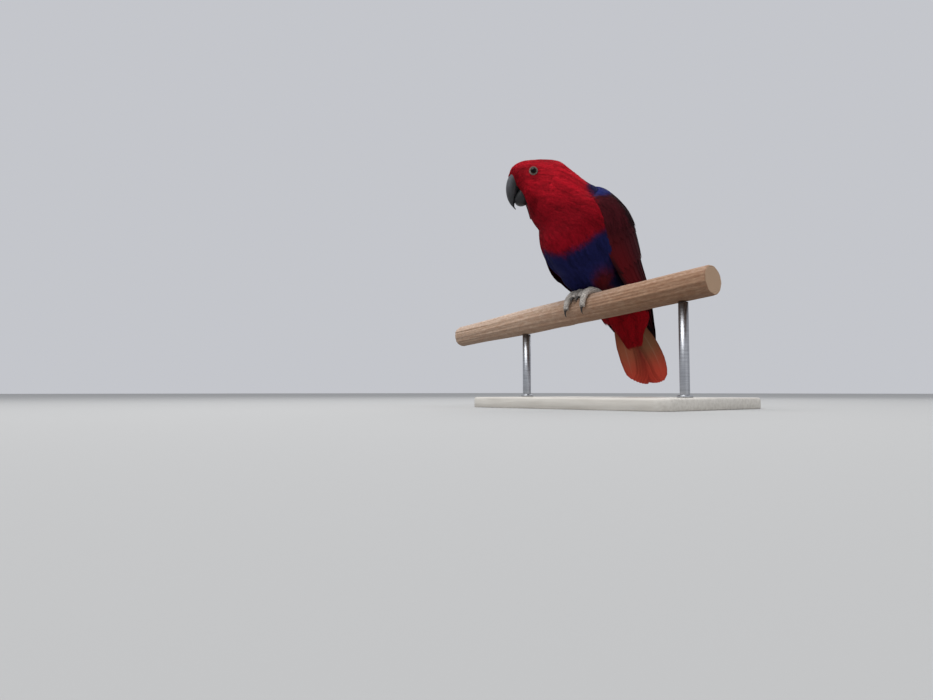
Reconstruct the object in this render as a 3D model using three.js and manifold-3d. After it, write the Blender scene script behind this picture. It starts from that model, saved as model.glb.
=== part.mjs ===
// Red female eclectus parrot at life size, as a still display model.
// She grips a short cut perch that stands on a plain base with two rods.
// Units are millimetres, +Z is up, and the origin is the centre of the base's underside.
// The bird's own coordinates are x to her left, y behind her and h above the perch's axis.

import * as THREE from 'three';
import { mergeVertices } from 'three/addons/utils/BufferGeometryUtils.js';
import Module from 'manifold-3d';

const wasm = await Module();
wasm.setup();

// Driving dimensions
const GAP = 0.3;
const PERCH_HEIGHT = 112;
const PERCH_RADIUS = 16;
const PERCH_END_RADIUS = 13.6;
const PERCH_LEFT = -212;
const PERCH_RIGHT = 168;
const PERCH_TILT = THREE.MathUtils.degToRad(5);
const BASE_LENGTH = 270;
const BASE_DEPTH = 190;
const BASE_THICKNESS = 12;
const BASE_CORNER = 16;
const BASE_OFFSET_X = 24;
const BASE_OFFSET_Y = 22;
const ROD_RADIUS = 5;
const ROD_PLACES = [-86, 134];
const NECK_AXIS_Y = -12;
const HEAD_TURN = 45;
const HEAD_SIDES = 24;
const FOOT_SPREAD = 8.5;
const FOOT_SHIFT = 7.5;

const COLOURS = {
  red: 0x9e1422,
  blue: 0x1f2a6b,
  maroon: 0x5c1620,
  tail: 0xa85030,
  bill: 0x22242a,
  foot: 0x958d84,
  claw: 0x2b2826,
  eye: 0x0c0a0a,
  lid: 0x8f9499,
  wood: 0xb08c70,
  base: 0xd8d2c6,
  steel: 0xb9bcc0,
};

// Small maths helpers
const vec = (x, y, z) => new THREE.Vector3(x, y, z);
const lerp = THREE.MathUtils.lerp;
const rad = THREE.MathUtils.degToRad;

function smooth(values, t) {
  // Catmull-Rom through evenly spaced values, with t from 0 to 1 over all of them.
  const last = values.length - 1;
  const place = Math.min(Math.max(t, 0), 1) * last;
  const i = Math.min(Math.floor(place), last - 1);
  const f = place - i;
  const at = (k) => values[Math.min(Math.max(k, 0), last)];
  const [a, b, c, d] = [at(i - 1), at(i), at(i + 1), at(i + 2)];
  return b + 0.5 * f * (c - a + f * (2 * a - 5 * b + 4 * c - d + f * (3 * (b - c) + d - a)));
}

function smoothVector(points, t) {
  return vec(
    smooth(points.map((p) => p.x), t),
    smooth(points.map((p) => p.y), t),
    smooth(points.map((p) => p.z), t),
  );
}

function noise(index) {
  // A fixed draw between 0 and 1 for each index.
  const wave = Math.sin(index * 127.1 + 311.7) * 43758.5453;
  return wave - Math.floor(wave);
}

// Solids
function geometryFrom(points, triangles) {
  const geometry = new THREE.BufferGeometry();
  const numbers = new Float32Array(points.flatMap((p) => [p.x, p.y, p.z]));
  geometry.setAttribute('position', new THREE.BufferAttribute(numbers, 3));
  geometry.setIndex(triangles.flat());
  return geometry;
}

function signedVolume(points, triangles) {
  let total = 0;
  for (const [a, b, c] of triangles) {
    total += points[a].dot(points[b].clone().cross(points[c]));
  }
  return total;
}

function loft(rings, flipped = []) {
  // Closed body through rings of equal count, with a fan over each end.
  // The sides named in flipped have their quads split along the other diagonal.
  const sides = rings[0].length;
  const points = rings.flat();
  const triangles = [];
  for (let i = 0; i < rings.length - 1; i += 1) {
    for (let j = 0; j < sides; j += 1) {
      const a = i * sides + j;
      const b = i * sides + ((j + 1) % sides);
      if (flipped.includes(j)) {
        triangles.push([a, b, a + sides], [b, b + sides, a + sides]);
      } else {
        triangles.push([a, b, b + sides], [a, b + sides, a + sides]);
      }
    }
  }
  for (const end of [0, rings.length - 1]) {
    const middle = points.length;
    const centre = rings[end].reduce((sum, p) => sum.add(p), vec(0, 0, 0)).divideScalar(sides);
    points.push(centre);
    for (let j = 0; j < sides; j += 1) {
      const a = end * sides + j;
      const b = end * sides + ((j + 1) % sides);
      triangles.push(end === 0 ? [b, a, middle] : [a, b, middle]);
    }
  }
  if (signedVolume(points, triangles) < 0) {
    triangles.forEach((t) => t.reverse());
  }
  return geometryFrom(points, triangles);
}

function solid(geometry) {
  const bare = geometry.clone();
  bare.deleteAttribute('normal');
  bare.deleteAttribute('uv');
  const merged = mergeVertices(bare, 1e-4);
  return new wasm.Manifold(new wasm.Mesh({
    numProp: 3,
    vertProperties: new Float32Array(merged.attributes.position.array),
    triVerts: new Uint32Array(merged.index.array),
  }));
}

function unite(solids) {
  return solids.reduce((sum, piece) => sum.add(piece));
}

function largest(manifold) {
  return manifold.decompose().reduce((best, piece) => (piece.volume() > best.volume() ? piece : best));
}

function mirrored(manifold) {
  return manifold.mirror([1, 0, 0]);
}

function meshOf(name, manifold, colour, roughness = 0.7, metalness = 0) {
  const body = largest(manifold).getMesh();
  const geometry = new THREE.BufferGeometry();
  geometry.setAttribute('position', new THREE.BufferAttribute(body.vertProperties, 3));
  geometry.setIndex(new THREE.BufferAttribute(body.triVerts, 1));
  geometry.computeVertexNormals();
  const material = new THREE.MeshStandardMaterial({ color: colour, roughness, metalness });
  const mesh = new THREE.Mesh(geometry, material);
  mesh.name = name;
  return mesh;
}

// Head, neck and torso: rings from the face to the root of the tail.
// Each station holds the ventral and dorsal points (y, h) before the head turns,
// the half width, the turn in degrees about the neck's axis, and the widest place.
const STATIONS = [
  { v: [-63, 124], d: [-84.5, 158], width: 11, turn: HEAD_TURN, wide: 0 },
  { v: [-62, 116], d: [-80.5, 166.5], width: 17, turn: HEAD_TURN, wide: 0 },
  { v: [-60.5, 110], d: [-69.5, 172.5], width: 20.5, turn: HEAD_TURN, wide: -0.05 },
  { v: [-58.5, 105], d: [-56, 174], width: 22.5, turn: HEAD_TURN, wide: -0.1 },
  { v: [-56, 100], d: [-41, 174], width: 24.5, turn: HEAD_TURN, wide: -0.1 },
  { v: [-52.5, 95], d: [-26.5, 170.5], width: 26.5, turn: 39, wide: -0.1 },
  { v: [-49.5, 88], d: [-14, 160], width: 28, turn: 29, wide: -0.05 },
  { v: [-49, 80], d: [2, 148.5], width: 31.5, turn: 18, wide: 0 },
  { v: [-48, 71], d: [21, 142], width: 37, turn: 9, wide: 0 },
  { v: [-42, 61], d: [37, 129.5], width: 39.5, turn: 3, wide: 0 },
  { v: [-33, 50], d: [47.5, 109], width: 38.5, turn: 0, wide: 0 },
  { v: [-20, 40], d: [55.5, 86], width: 36.5, turn: 0, wide: 0 },
  { v: [-3, 31], d: [62, 62], width: 33.5, turn: 0, wide: 0 },
  { v: [17, 21], d: [69, 41], width: 29.5, turn: 0, wide: 0 },
  { v: [37, 8], d: [75, 22], width: 26, turn: 0, wide: 0 },
  { v: [54, -7], d: [81, 4], width: 22, turn: 0, wide: 0 },
  { v: [66, -20], d: [85, -12], width: 17, turn: 0, wide: 0 },
];
const FACE_STATION = 0;
const HEAD_STATION = 5.5;
const NECK_STATION = 8.5;
const TORSO_STATION = 15;

function fleshRing(station, grow = 0, sides = HEAD_SIDES, shift = 0) {
  // One closed ring of the body, grown outwards and shifted along the body in millimetres.
  const t = station / (STATIONS.length - 1);
  const value = (pick) => smooth(STATIONS.map(pick), t);
  const ventral = vec(0, value((s) => s.v[0]), value((s) => s.v[1]));
  const dorsal = vec(0, value((s) => s.d[0]), value((s) => s.d[1]));
  const half = dorsal.clone().sub(ventral).multiplyScalar(0.5);
  const unit = half.clone().normalize();
  half.addScaledVector(unit, grow);
  const normal = vec(0, unit.z, -unit.y);
  const centre = dorsal.clone().add(ventral).multiplyScalar(0.5).addScaledVector(normal, shift);
  const width = value((s) => s.width) + grow;
  const wide = value((s) => s.wide);
  const turn = rad(value((s) => s.turn));
  const axis = vec(0, NECK_AXIS_Y, 0);
  const ring = [];
  for (let j = 0; j < sides; j += 1) {
    const angle = (2 * Math.PI * j) / sides;
    const along = -Math.cos(angle) + wide * Math.sin(angle) ** 2;
    const point = centre.clone().addScaledVector(half, along);
    point.x = width * Math.sin(angle);
    ring.push(point.sub(axis).applyAxisAngle(vec(0, 0, 1), -turn).add(axis));
  }
  return ring;
}

function flesh(from, to, steps, grow = 0, shiftFrom = 0, shiftTo = 0) {
  const rings = [];
  for (let i = 0; i <= steps; i += 1) {
    const shift = i === 0 ? shiftFrom : i === steps ? shiftTo : 0;
    rings.push(fleshRing(lerp(from, to, i / steps), grow, HEAD_SIDES, shift));
  }
  return solid(loft(rings));
}

// Points in the head's own frame: a ahead of the neck's axis, s to her left, h up.
function headPoint(a, s, h) {
  const turn = rad(HEAD_TURN);
  return vec(
    s * Math.cos(turn) - a * Math.sin(turn),
    NECK_AXIS_Y - s * Math.sin(turn) - a * Math.cos(turn),
    h,
  );
}

// Bill: each ring lies across the mandible, from its outer edge to its inner edge.
const UPPER_BILL = [
  { outer: [66, 163], inner: [55, 146], width: 11.5 },
  { outer: [71, 157.5], inner: [58, 143.5], width: 11 },
  { outer: [74.6, 150], inner: [60.5, 139], width: 9.8 },
  { outer: [76, 141], inner: [62.5, 134], width: 8.2 },
  { outer: [75, 132], inner: [64.5, 129], width: 6.2 },
  { outer: [72, 124.5], inner: [66, 123.5], width: 3.9 },
  { outer: [68, 119.3], inner: [66, 119.6], width: 2 },
  { outer: [65, 116.2], inner: [64.4, 117], width: 0.7 },
];
const LOWER_BILL = [
  { outer: [48, 127], inner: [57, 143], width: 10.5 },
  { outer: [52, 122.5], inner: [61.5, 139.5], width: 9.8 },
  { outer: [57, 120.3], inner: [65.5, 133], width: 8.4 },
  { outer: [61.5, 120.8], inner: [67, 127.5], width: 6 },
  { outer: [64.5, 123], inner: [66, 125.4], width: 3 },
];

const BILL_SIDES = 12;

function billRing(ring, sides, grow) {
  const points = [];
  const centre = [(ring.outer[0] + ring.inner[0]) / 2, (ring.outer[1] + ring.inner[1]) / 2];
  const reach = [(ring.outer[0] - ring.inner[0]) / 2, (ring.outer[1] - ring.inner[1]) / 2];
  const scale = 1 + grow / Math.hypot(...reach);
  for (let j = 0; j < sides; j += 1) {
    const angle = (2 * Math.PI * j) / sides;
    const along = Math.cos(angle) * scale;
    points.push(headPoint(
      centre[0] + reach[0] * along,
      (ring.width + grow) * Math.sin(angle),
      centre[1] + reach[1] * along,
    ));
  }
  return points;
}

function mandible(rings, grow = 0) {
  const steps = (rings.length - 1) * 2;
  const list = [];
  for (let i = 0; i <= steps; i += 1) {
    const t = i / steps;
    const value = (pick) => smooth(rings.map(pick), t);
    list.push(billRing({
      outer: [value((r) => r.outer[0]), value((r) => r.outer[1])],
      inner: [value((r) => r.inner[0]), value((r) => r.inner[1])],
      width: value((r) => r.width),
    }, BILL_SIDES, grow));
  }
  return solid(loft(list));
}

function ball(centre, radius, detail = 7) {
  const sphere = new THREE.SphereGeometry(radius, detail * 2, detail);
  sphere.translate(centre.x, centre.y, centre.z);
  return solid(sphere);
}

// Nostrils open at the root of the upper bill.
const NOSTRIL = { ahead: 70, side: 5.6, height: 160, radius: 1.5 };

function nostrils() {
  return unite([1, -1].map((side) => (
    ball(headPoint(NOSTRIL.ahead, side * NOSTRIL.side, NOSTRIL.height), NOSTRIL.radius, 4)
  )));
}

// Eyes
const EYE = { ahead: 44.5, side: 18, height: 155, radius: 4.5, lid: 0.9 };

function eyeCentre(side) {
  return headPoint(EYE.ahead, side * EYE.side, EYE.height);
}

function eyeLid(side, grow = 0) {
  const ring = new THREE.TorusGeometry(EYE.radius - 0.45, EYE.lid + grow, 5, 12);
  const outward = headPoint(0, side, 0).sub(headPoint(0, 0, 0)).normalize();
  const facing = new THREE.Quaternion().setFromUnitVectors(vec(0, 0, 1), outward);
  ring.applyQuaternion(facing);
  const centre = eyeCentre(side).addScaledVector(outward, EYE.radius * 0.52);
  ring.translate(centre.x, centre.y, centre.z);
  return solid(ring);
}

// Wings: the outer surface of the left wing, from the shoulder over the wrist to the tip.
// Each row holds the front edge, the middle and the back edge as (x, y, h), and a place on
// the wing is s, counted in rows, and q, from 0 at the front edge to 1 at the back edge.
const WING_ROWS = [
  { front: [28.5, -24, 120], middle: [25, -9, 132.5], back: [13, 2, 142.5] },
  { front: [36.5, -25, 116], middle: [41, 3, 126.5], back: [19.5, 24, 141.5] },
  { front: [43.5, -21, 97], middle: [50.5, 20, 112], back: [19, 46, 119] },
  { front: [44.5, -12, 70], middle: [53, 36, 88], back: [16, 67, 95] },
  { front: [46, 11, 40], middle: [51, 54, 56], back: [12, 80, 64] },
  { front: [40, 58, 9], middle: [45, 79, 23], back: [10, 92, 30] },
  { front: [34.5, 93, -17], middle: [31, 102, -11], back: [11, 103, -8] },
  { front: [28, 114.5, -46], middle: [25, 116.5, -46], back: [22, 117.5, -45] },
];
const WING_TIP = WING_ROWS.length - 1;
// The right wing mirrors the left, with its front edge further forward at the belly, in
// millimetres along y, and its tip nearer to the tail.
const RIGHT_FRONT_SHIFT = -6.5;
const RIGHT_TIP_SHIFT = vec(-8, -4, 0);

function wingPoint(s, q, side) {
  const edge = (name) => smoothVector(WING_ROWS.map((row) => vec(...row[name])), s / WING_TIP);
  const front = edge('front');
  const middle = edge('middle');
  const back = edge('back');
  const rise = THREE.MathUtils.smoothstep;
  if (side < 0) {
    front.y += RIGHT_FRONT_SHIFT * rise(s, 1.8, 3) * (1 - rise(s, 3.6, 5));
  }
  const pull = middle.multiplyScalar(2).addScaledVector(front, -0.5).addScaledVector(back, -0.5);
  const point = front.multiplyScalar((1 - q) ** 2)
    .addScaledVector(pull, 2 * q * (1 - q))
    .addScaledVector(back, q * q);
  if (side < 0) {
    point.addScaledVector(RIGHT_TIP_SHIFT, rise(s, 4, WING_TIP));
  }
  return point;
}

function wingNormal(s, q, side) {
  const along = wingPoint(s + 0.12, q, side).sub(wingPoint(s - 0.12, q, side));
  const across = wingPoint(s, q + 0.02, side).sub(wingPoint(s, q - 0.02, side));
  return along.cross(across).normalize();
}

// Feathers: a vane is a thin tapered plate along a path, split alike on both faces.
const VANE_THICKNESS = 0.6;
const VANE_STEPS = 4;
const VANE_OUTLINE = [0.7, 1, 1, 0.9, 0.3];
const UNDERSIDE = [2];

function vane(path, width, tilt, outline = VANE_OUTLINE) {
  // The path gives a point and the outward normal for u from 0 at the root to 1 at the tip.
  // The tilt, in degrees, lifts the edge that lies over the next feather.
  const rings = [];
  for (let i = 0; i <= VANE_STEPS; i += 1) {
    const u = i / VANE_STEPS;
    const { point, normal } = path(u);
    const ahead = path(Math.min(1, u + 0.05)).point.sub(path(Math.max(0, u - 0.05)).point).normalize();
    const side = ahead.clone().cross(normal).normalize().applyAxisAngle(ahead, rad(tilt));
    const up = side.clone().cross(ahead).normalize();
    const half = (width / 2) * smooth(outline, u);
    const thick = (VANE_THICKNESS / 2) * (i === VANE_STEPS ? 0.6 : 1);
    rings.push([[-1, 1], [1, 1], [1, -1], [-1, -1]].map(([across, face]) => (
      point.clone().addScaledVector(side, across * half).addScaledVector(up, face * thick)
    )));
  }
  return solid(loft(rings, UNDERSIDE));
}

// Tiers of the wing, from the innermost out. Roots and tips are (s, q) places on the wing
// for the first feather, next to the front edge, and for the last, next to the back.
// The drop is how far below the outer surface the tier lies, and each feather of a stacked
// tier lies as far again above the one before it as the stack says.
const PRIMARIES = {
  count: 6, width: 12.5, drop: 9.4, stack: 0.95, tilt: 0,
  root: [[3.64, 0.1], [3.64, 0.7]], tip: [[6.16, 0.04], [7, 0.95]],
};
const SECONDARIES = {
  count: 7, width: 13, drop: 4.6, stack: 0, tilt: 8,
  root: [[3.1, 0.07], [2.8, 0.95]], tip: [[5.2, 0.06], [4.72, 0.97]],
};
const GREATER_COVERTS = {
  count: 6, width: 14, drop: 2.5, stack: 0, tilt: 7,
  root: [[2.3, 0.08], [2, 0.92]], tip: [[3.9, 0.06], [3.4, 0.95]],
};
const LESSER_COVERTS = {
  count: 6, width: 14, drop: 0.6, stack: 0, tilt: 6,
  root: [[1.4, 0.09], [1.2, 0.91]], tip: [[2.75, 0.07], [2.35, 0.94]],
};
const SHOULDER_COVERTS = {
  count: 5, width: 15, drop: -0.4, stack: 0, tilt: 5,
  root: [[0.4, 0.12], [0.3, 0.88]], tip: [[1.75, 0.08], [1.55, 0.93]],
};
const WING_TIERS = [PRIMARIES, SECONDARIES, GREATER_COVERTS, LESSER_COVERTS, SHOULDER_COVERTS];
const ROOT_SINK = 3.2;
const TIP_STAGGER = 0.07;

function surfacePath(root, tip, drop, side) {
  return (u) => {
    const s = lerp(root[0], tip[0], u);
    const q = lerp(root[1], tip[1], THREE.MathUtils.smoothstep(u, 0, 1));
    const normal = wingNormal(s, q, side);
    const sink = ROOT_SINK * (1 - THREE.MathUtils.smoothstep(u, 0, 0.35));
    const taper = 1 - 0.75 * THREE.MathUtils.smoothstep(s, 4.4, WING_TIP);
    const point = wingPoint(s, q, side).addScaledVector(normal, -(drop * taper + sink));
    return { point, normal };
  };
}

function wingTier(tier, side) {
  const vanes = [];
  for (let k = 0; k < tier.count; k += 1) {
    const f = k / (tier.count - 1);
    const between = ([a, b]) => [lerp(a[0], b[0], f), lerp(a[1], b[1], f)];
    const tip = between(tier.tip);
    tip[0] += TIP_STAGGER * (noise(tier.count + k) - 0.5);
    const path = surfacePath(between(tier.root), tip, tier.drop - k * tier.stack, side);
    vanes.push(vane(path, tier.width, tier.tilt));
  }
  return vanes;
}

// The flesh of the wing carries every root and reaches in to the body. Top and bottom are
// the depths of its two faces below the outer surface, and the margin is cut off each edge.
const WING_ARM = {
  start: 0.1,
  end: 4,
  steps: 9,
  cells: 5,
  top: [0.6, 0.6, 1, 2.6, 4.6, 6.7, 8.4],
  bottom: [6, 9, 12, 13, 12.5, 12, 10.4],
  margin: [0.1, 0.06, 0.04, 0.03, 0.04, 0.07, 0.12],
};
// The wing's envelope holds the whole wing, so that the tail can be kept clear of it.
const WING_ENVELOPE = {
  start: 1,
  end: 7.25,
  steps: 10,
  cells: 4,
  top: [-2, -2, -2, -2, -2, -2],
  bottom: [8, 14, 14, 12, 8, 4.5],
  margin: [-0.1, -0.12, -0.14, -0.14, -0.2, -0.9],
};

function wingBody(shape, side) {
  const rings = [];
  for (let i = 0; i <= shape.steps; i += 1) {
    const t = i / shape.steps;
    const s = lerp(shape.start, shape.end, t);
    const [top, bottom, margin] = [shape.top, shape.bottom, shape.margin].map((list) => smooth(list, t));
    const outer = [];
    const inner = [];
    for (let j = 0; j <= shape.cells; j += 1) {
      const q = lerp(margin, 1 - margin, j / shape.cells);
      const point = wingPoint(s, q, side);
      const normal = wingNormal(s, q, side);
      const edge = (Math.abs(j / shape.cells - 0.5) * 2) ** 6;
      outer.push(point.clone().addScaledVector(normal, -lerp(top, top + 1.2, edge)));
      inner.unshift(point.clone().addScaledVector(normal, -bottom));
    }
    rings.push([...outer, ...inner]);
  }
  return solid(loft(rings));
}

function onSide(side, manifold) {
  return side > 0 ? manifold : mirrored(manifold);
}

function wing(side) {
  return onSide(side, unite([wingBody(WING_ARM, side), ...WING_TIERS.flatMap((tier) => wingTier(tier, side))]));
}

function wingEnvelope(side) {
  return onSide(side, wingBody(WING_ENVELOPE, side));
}

// Tail: a fan whose root lies in the rump. It swings to her left and turns a little.
const TAIL_ROOT = vec(5, 73, 4);
const TAIL_TIP = vec(19, 105, -82);
const TAIL_TURN = 20;
const TAIL_ARCH = 2.5;
const TAIL_BOW = 3.5;
const TAIL_AXIS = TAIL_TIP.clone().sub(TAIL_ROOT).normalize();
const TAIL_LEVEL = vec(Math.cos(rad(TAIL_TURN)), Math.sin(rad(TAIL_TURN)), 0);
const TAIL_ACROSS = TAIL_LEVEL.clone().addScaledVector(TAIL_AXIS, -TAIL_AXIS.dot(TAIL_LEVEL)).normalize();
const TAIL_BACK = TAIL_ACROSS.clone().cross(TAIL_AXIS);
const RECTRICES = 12;

function tailPoint(t, across, depth) {
  // The depth is towards the tail's back. The fan bows towards her left along its length
  // and arches down towards its edges.
  return TAIL_ROOT.clone().lerp(TAIL_TIP, t)
    .addScaledVector(TAIL_ACROSS, across + TAIL_BOW * 6.75 * t * t * (1 - t))
    .addScaledVector(TAIL_BACK, depth - TAIL_ARCH * (across / 26) ** 2);
}

function tailVane(from, to, width, tilt, facing) {
  // From and to are (t, across, depth) places of the vane's root and tip.
  const path = (u) => {
    const spread = Math.sin((Math.PI / 2) * u);
    const across = lerp(from[1], to[1], spread);
    const point = tailPoint(lerp(from[0], to[0], u), across, lerp(from[2], to[2], spread));
    return { point, normal: TAIL_BACK.clone().multiplyScalar(facing) };
  };
  return vane(path, width, tilt);
}

function rectrices() {
  const vanes = [];
  const pairs = RECTRICES / 2;
  for (let k = 0; k < pairs; k += 1) {
    [1, -1].forEach((side) => {
      const f = k / (pairs - 1);
      const level = 2.6 - k * 0.95 - (side < 0 ? 0.45 : 0);
      const root = [0.08, side * lerp(2, 8, f), level * 0.8];
      const tip = [1.02 + 0.062 * side * f - 0.062 * f * f, side * lerp(3, 19, f) - 1, level];
      vanes.push(tailVane(root, tip, 19, 0, 1));
    });
  }
  return vanes;
}

// Coverts above and below the tail, in tiers from the longest to the shortest. The shift
// moves a tier's tips across the tail.
const TAIL_COVERTS = [
  { facing: -1, count: 5, width: 13, shift: -3.5, root: [0.1, 8, -8], tip: [0.52, 10.5, -5.4] },
  { facing: -1, count: 5, width: 13, shift: -2, root: [0, 11, -12.5], tip: [0.4, 12.5, -10] },
  { facing: -1, count: 6, width: 12, shift: 0, root: [-0.06, 13, -16], tip: [0.25, 14.5, -15.5] },
  { facing: 1, count: 4, width: 13, shift: 0, root: [0.02, 8, 3.5], tip: [0.42, 13, 5] },
  { facing: 1, count: 4, width: 13, shift: 0, root: [-0.06, 9, 5.5], tip: [0.24, 15, 7.6] },
];

function tailCoverts() {
  return TAIL_COVERTS.flatMap((tier) => {
    const vanes = [];
    for (let k = 0; k < tier.count; k += 1) {
      const f = (2 * k) / (tier.count - 1) - 1;
      const short = 0.1 * f * f;
      const root = [tier.root[0], tier.root[1] * f, tier.root[2]];
      const tip = [tier.tip[0] - short, tier.tip[1] * f + tier.shift, tier.tip[2]];
      vanes.push(tailVane(root, tip, tier.width, 6, tier.facing));
    }
    return vanes;
  });
}

function tailCore() {
  // The flesh at the tail's root, which carries every feather of the tail.
  const rings = [];
  const steps = 6;
  const sides = 12;
  for (let i = 0; i <= steps; i += 1) {
    const t = lerp(-0.1, 0.36, i / steps);
    const wide = smooth([18, 20.5, 20, 17.5, 13.5], i / steps);
    const back = smooth([6, 7, 6.4, 4.6, 1.5], i / steps);
    const front = smooth([13, 17, 15, 10, 5], i / steps);
    const ring = [];
    for (let j = 0; j < sides; j += 1) {
      const angle = (2 * Math.PI * j) / sides;
      const depth = Math.sin(angle) * (Math.sin(angle) > 0 ? back : front);
      ring.push(tailPoint(t, wide * Math.cos(angle), depth));
    }
    rings.push(ring);
  }
  return solid(loft(rings));
}

function tail() {
  return unite([tailCore(), ...rectrices(), ...tailCoverts()]);
}

// Perch: a debarked branch, a little thinner at its far end.
function perchPoint(x) {
  return vec(x * Math.cos(PERCH_TILT), 0, x * Math.sin(PERCH_TILT));
}

function perchRadius(x) {
  const far = THREE.MathUtils.smoothstep(x, PERCH_LEFT, -60);
  return lerp(PERCH_END_RADIUS, PERCH_RADIUS, far);
}

function tubeRing(centre, direction, radius, sides, flatten = 1) {
  const up = Math.abs(direction.z) > 0.9 ? vec(1, 0, 0) : vec(0, 0, 1);
  const side = direction.clone().cross(up).normalize();
  const top = side.clone().cross(direction).normalize();
  const ring = [];
  for (let j = 0; j < sides; j += 1) {
    const angle = (2 * Math.PI * j) / sides;
    ring.push(centre.clone()
      .addScaledVector(side, radius * Math.cos(angle))
      .addScaledVector(top, radius * flatten * Math.sin(angle)));
  }
  return ring;
}

function perch(grow = 0) {
  const rings = [];
  const steps = 10;
  const direction = perchPoint(1).normalize();
  for (let i = 0; i <= steps; i += 1) {
    const x = lerp(PERCH_LEFT, PERCH_RIGHT, i / steps);
    rings.push(tubeRing(perchPoint(x), direction, perchRadius(x) + grow, 18));
  }
  return solid(loft(rings));
}

// Legs: feathered thighs, then bare feet with two toes in front and two behind.
const TOES = [
  { name: 'front_outer', from: 1, splay: 0.4, sweep: 93, radius: 3.8, way: -1 },
  { name: 'front_inner', from: -1, splay: -1.4, sweep: 53, radius: 3.5, way: -1 },
  { name: 'back_outer', from: 1, splay: 5, sweep: 70, radius: 3.8, way: 1 },
  { name: 'back_inner', from: -1, splay: -1.5, sweep: 50, radius: 3.5, way: 1 },
];
const TOE_GAP = 3;
const CLAW_SWEEP = 26;
const ANKLE = vec(0, 9, 27);
const KNEE_SPREAD = 19;
const KNEE_SHIFT = 4;

function footPlace(side) {
  return perchPoint(FOOT_SHIFT + side * FOOT_SPREAD);
}

function toePoint(toe, side, angle, lift) {
  // A point on the perch's round surface, by its angle in degrees from the top.
  const centre = footPlace(side);
  const reach = perchRadius(centre.x) + lift;
  const part = Math.abs(angle) / toe.sweep;
  const x = side * (toe.from * TOE_GAP + toe.splay * part);
  return vec(
    centre.x + x,
    toe.way * reach * Math.sin(rad(angle)),
    centre.z + x * Math.tan(PERCH_TILT) + reach * Math.cos(rad(angle)),
  );
}

function toeSolid(toe, side, grow = 0) {
  const rings = [];
  const steps = 4;
  for (let i = 0; i <= steps; i += 1) {
    const t = i / steps;
    const angle = toe.sweep * t;
    const radius = toe.radius * lerp(1.12, 0.78, t) + grow;
    const lift = toe.radius * 0.82;
    const point = toePoint(toe, side, angle, lift);
    const next = toePoint(toe, side, angle + 1, lift);
    rings.push(tubeRing(point, next.sub(point).normalize(), radius, 8, 0.92));
  }
  return solid(loft(rings));
}

function clawSolid(toe, side) {
  const rings = [];
  const steps = 4;
  for (let i = 0; i <= steps; i += 1) {
    const t = i / steps;
    const angle = toe.sweep - 3 + CLAW_SWEEP * t;
    const lift = toe.radius * 0.95 + 1.6 * Math.sin(Math.PI * t * 0.8);
    const point = toePoint(toe, side, angle, lift);
    const next = toePoint(toe, side, angle + 1, lift);
    rings.push(tubeRing(point, next.sub(point).normalize(), lerp(2, 0.35, t), 6));
  }
  return solid(loft(rings));
}

function tarsus(side) {
  const foot = footPlace(side).add(vec(0, 0, PERCH_RADIUS + 4));
  const ankle = footPlace(side).add(ANKLE);
  const rings = [0, 0.5, 1].map((t) => {
    const centre = foot.clone().lerp(ankle, t);
    return tubeRing(centre, ankle.clone().sub(foot).normalize(), lerp(5.2, 4.6, t), 8);
  });
  return solid(loft(rings));
}

function thigh(side, grow = 0) {
  const knee = vec(KNEE_SHIFT + side * KNEE_SPREAD, 2, 51);
  const ankle = footPlace(side).add(ANKLE).add(vec(0, 0.5, -2.5));
  const rings = [];
  const steps = 5;
  for (let i = 0; i <= steps; i += 1) {
    const t = i / steps;
    const centre = knee.clone().lerp(ankle, t);
    const radius = smooth([12, 16, 15.5, 12.5, 8], t) + grow;
    rings.push(tubeRing(centre, ankle.clone().sub(knee).normalize(), radius, 12));
  }
  return solid(loft(rings));
}

// Stand
function roundedBase() {
  const [w, d, r] = [BASE_LENGTH / 2, BASE_DEPTH / 2, BASE_CORNER];
  const shape = new THREE.Shape();
  shape.moveTo(-w + r, -d);
  shape.lineTo(w - r, -d);
  shape.absarc(w - r, -d + r, r, -Math.PI / 2, 0, false);
  shape.lineTo(w, d - r);
  shape.absarc(w - r, d - r, r, 0, Math.PI / 2, false);
  shape.lineTo(-w + r, d);
  shape.absarc(-w + r, d - r, r, Math.PI / 2, Math.PI, false);
  shape.lineTo(-w, -d + r);
  shape.absarc(-w + r, -d + r, r, Math.PI, Math.PI * 1.5, false);
  const options = { depth: BASE_THICKNESS, bevelEnabled: false, curveSegments: 5 };
  return solid(new THREE.ExtrudeGeometry(shape, options));
}

function standRod(x) {
  // A rod from the top of the base up to the underside of the perch.
  const top = PERCH_HEIGHT + perchPoint(x).z;
  const bottom = BASE_THICKNESS + GAP;
  const rod = new THREE.CylinderGeometry(ROD_RADIUS, ROD_RADIUS, top - bottom, 16);
  rod.rotateX(Math.PI / 2);
  rod.translate(x, 0, (top + bottom) / 2 - PERCH_HEIGHT);
  return solid(rod).subtract(perch(GAP));
}

// Assembly
const model = new THREE.Group();
const bird = new THREE.Group();
bird.position.set(-BASE_OFFSET_X, -BASE_OFFSET_Y, PERCH_HEIGHT);
model.add(bird);

const wholeFlesh = flesh(FACE_STATION, TORSO_STATION, 32, GAP);
const perchClear = perch(GAP);
const upperBill = mandible(UPPER_BILL).subtract(nostrils());
const lowerBill = mandible(LOWER_BILL).subtract(mandible(UPPER_BILL, GAP));
const headCut = unite([mandible(UPPER_BILL, GAP), mandible(LOWER_BILL, GAP)]);
const eyeBalls = [1, -1].map((side) => ball(eyeCentre(side), EYE.radius));
const eyeClear = [1, -1].map((side) => {
  const radius = EYE.radius + GAP;
  return unite([ball(eyeCentre(side), radius), eyeLid(side, GAP)]);
});

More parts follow.
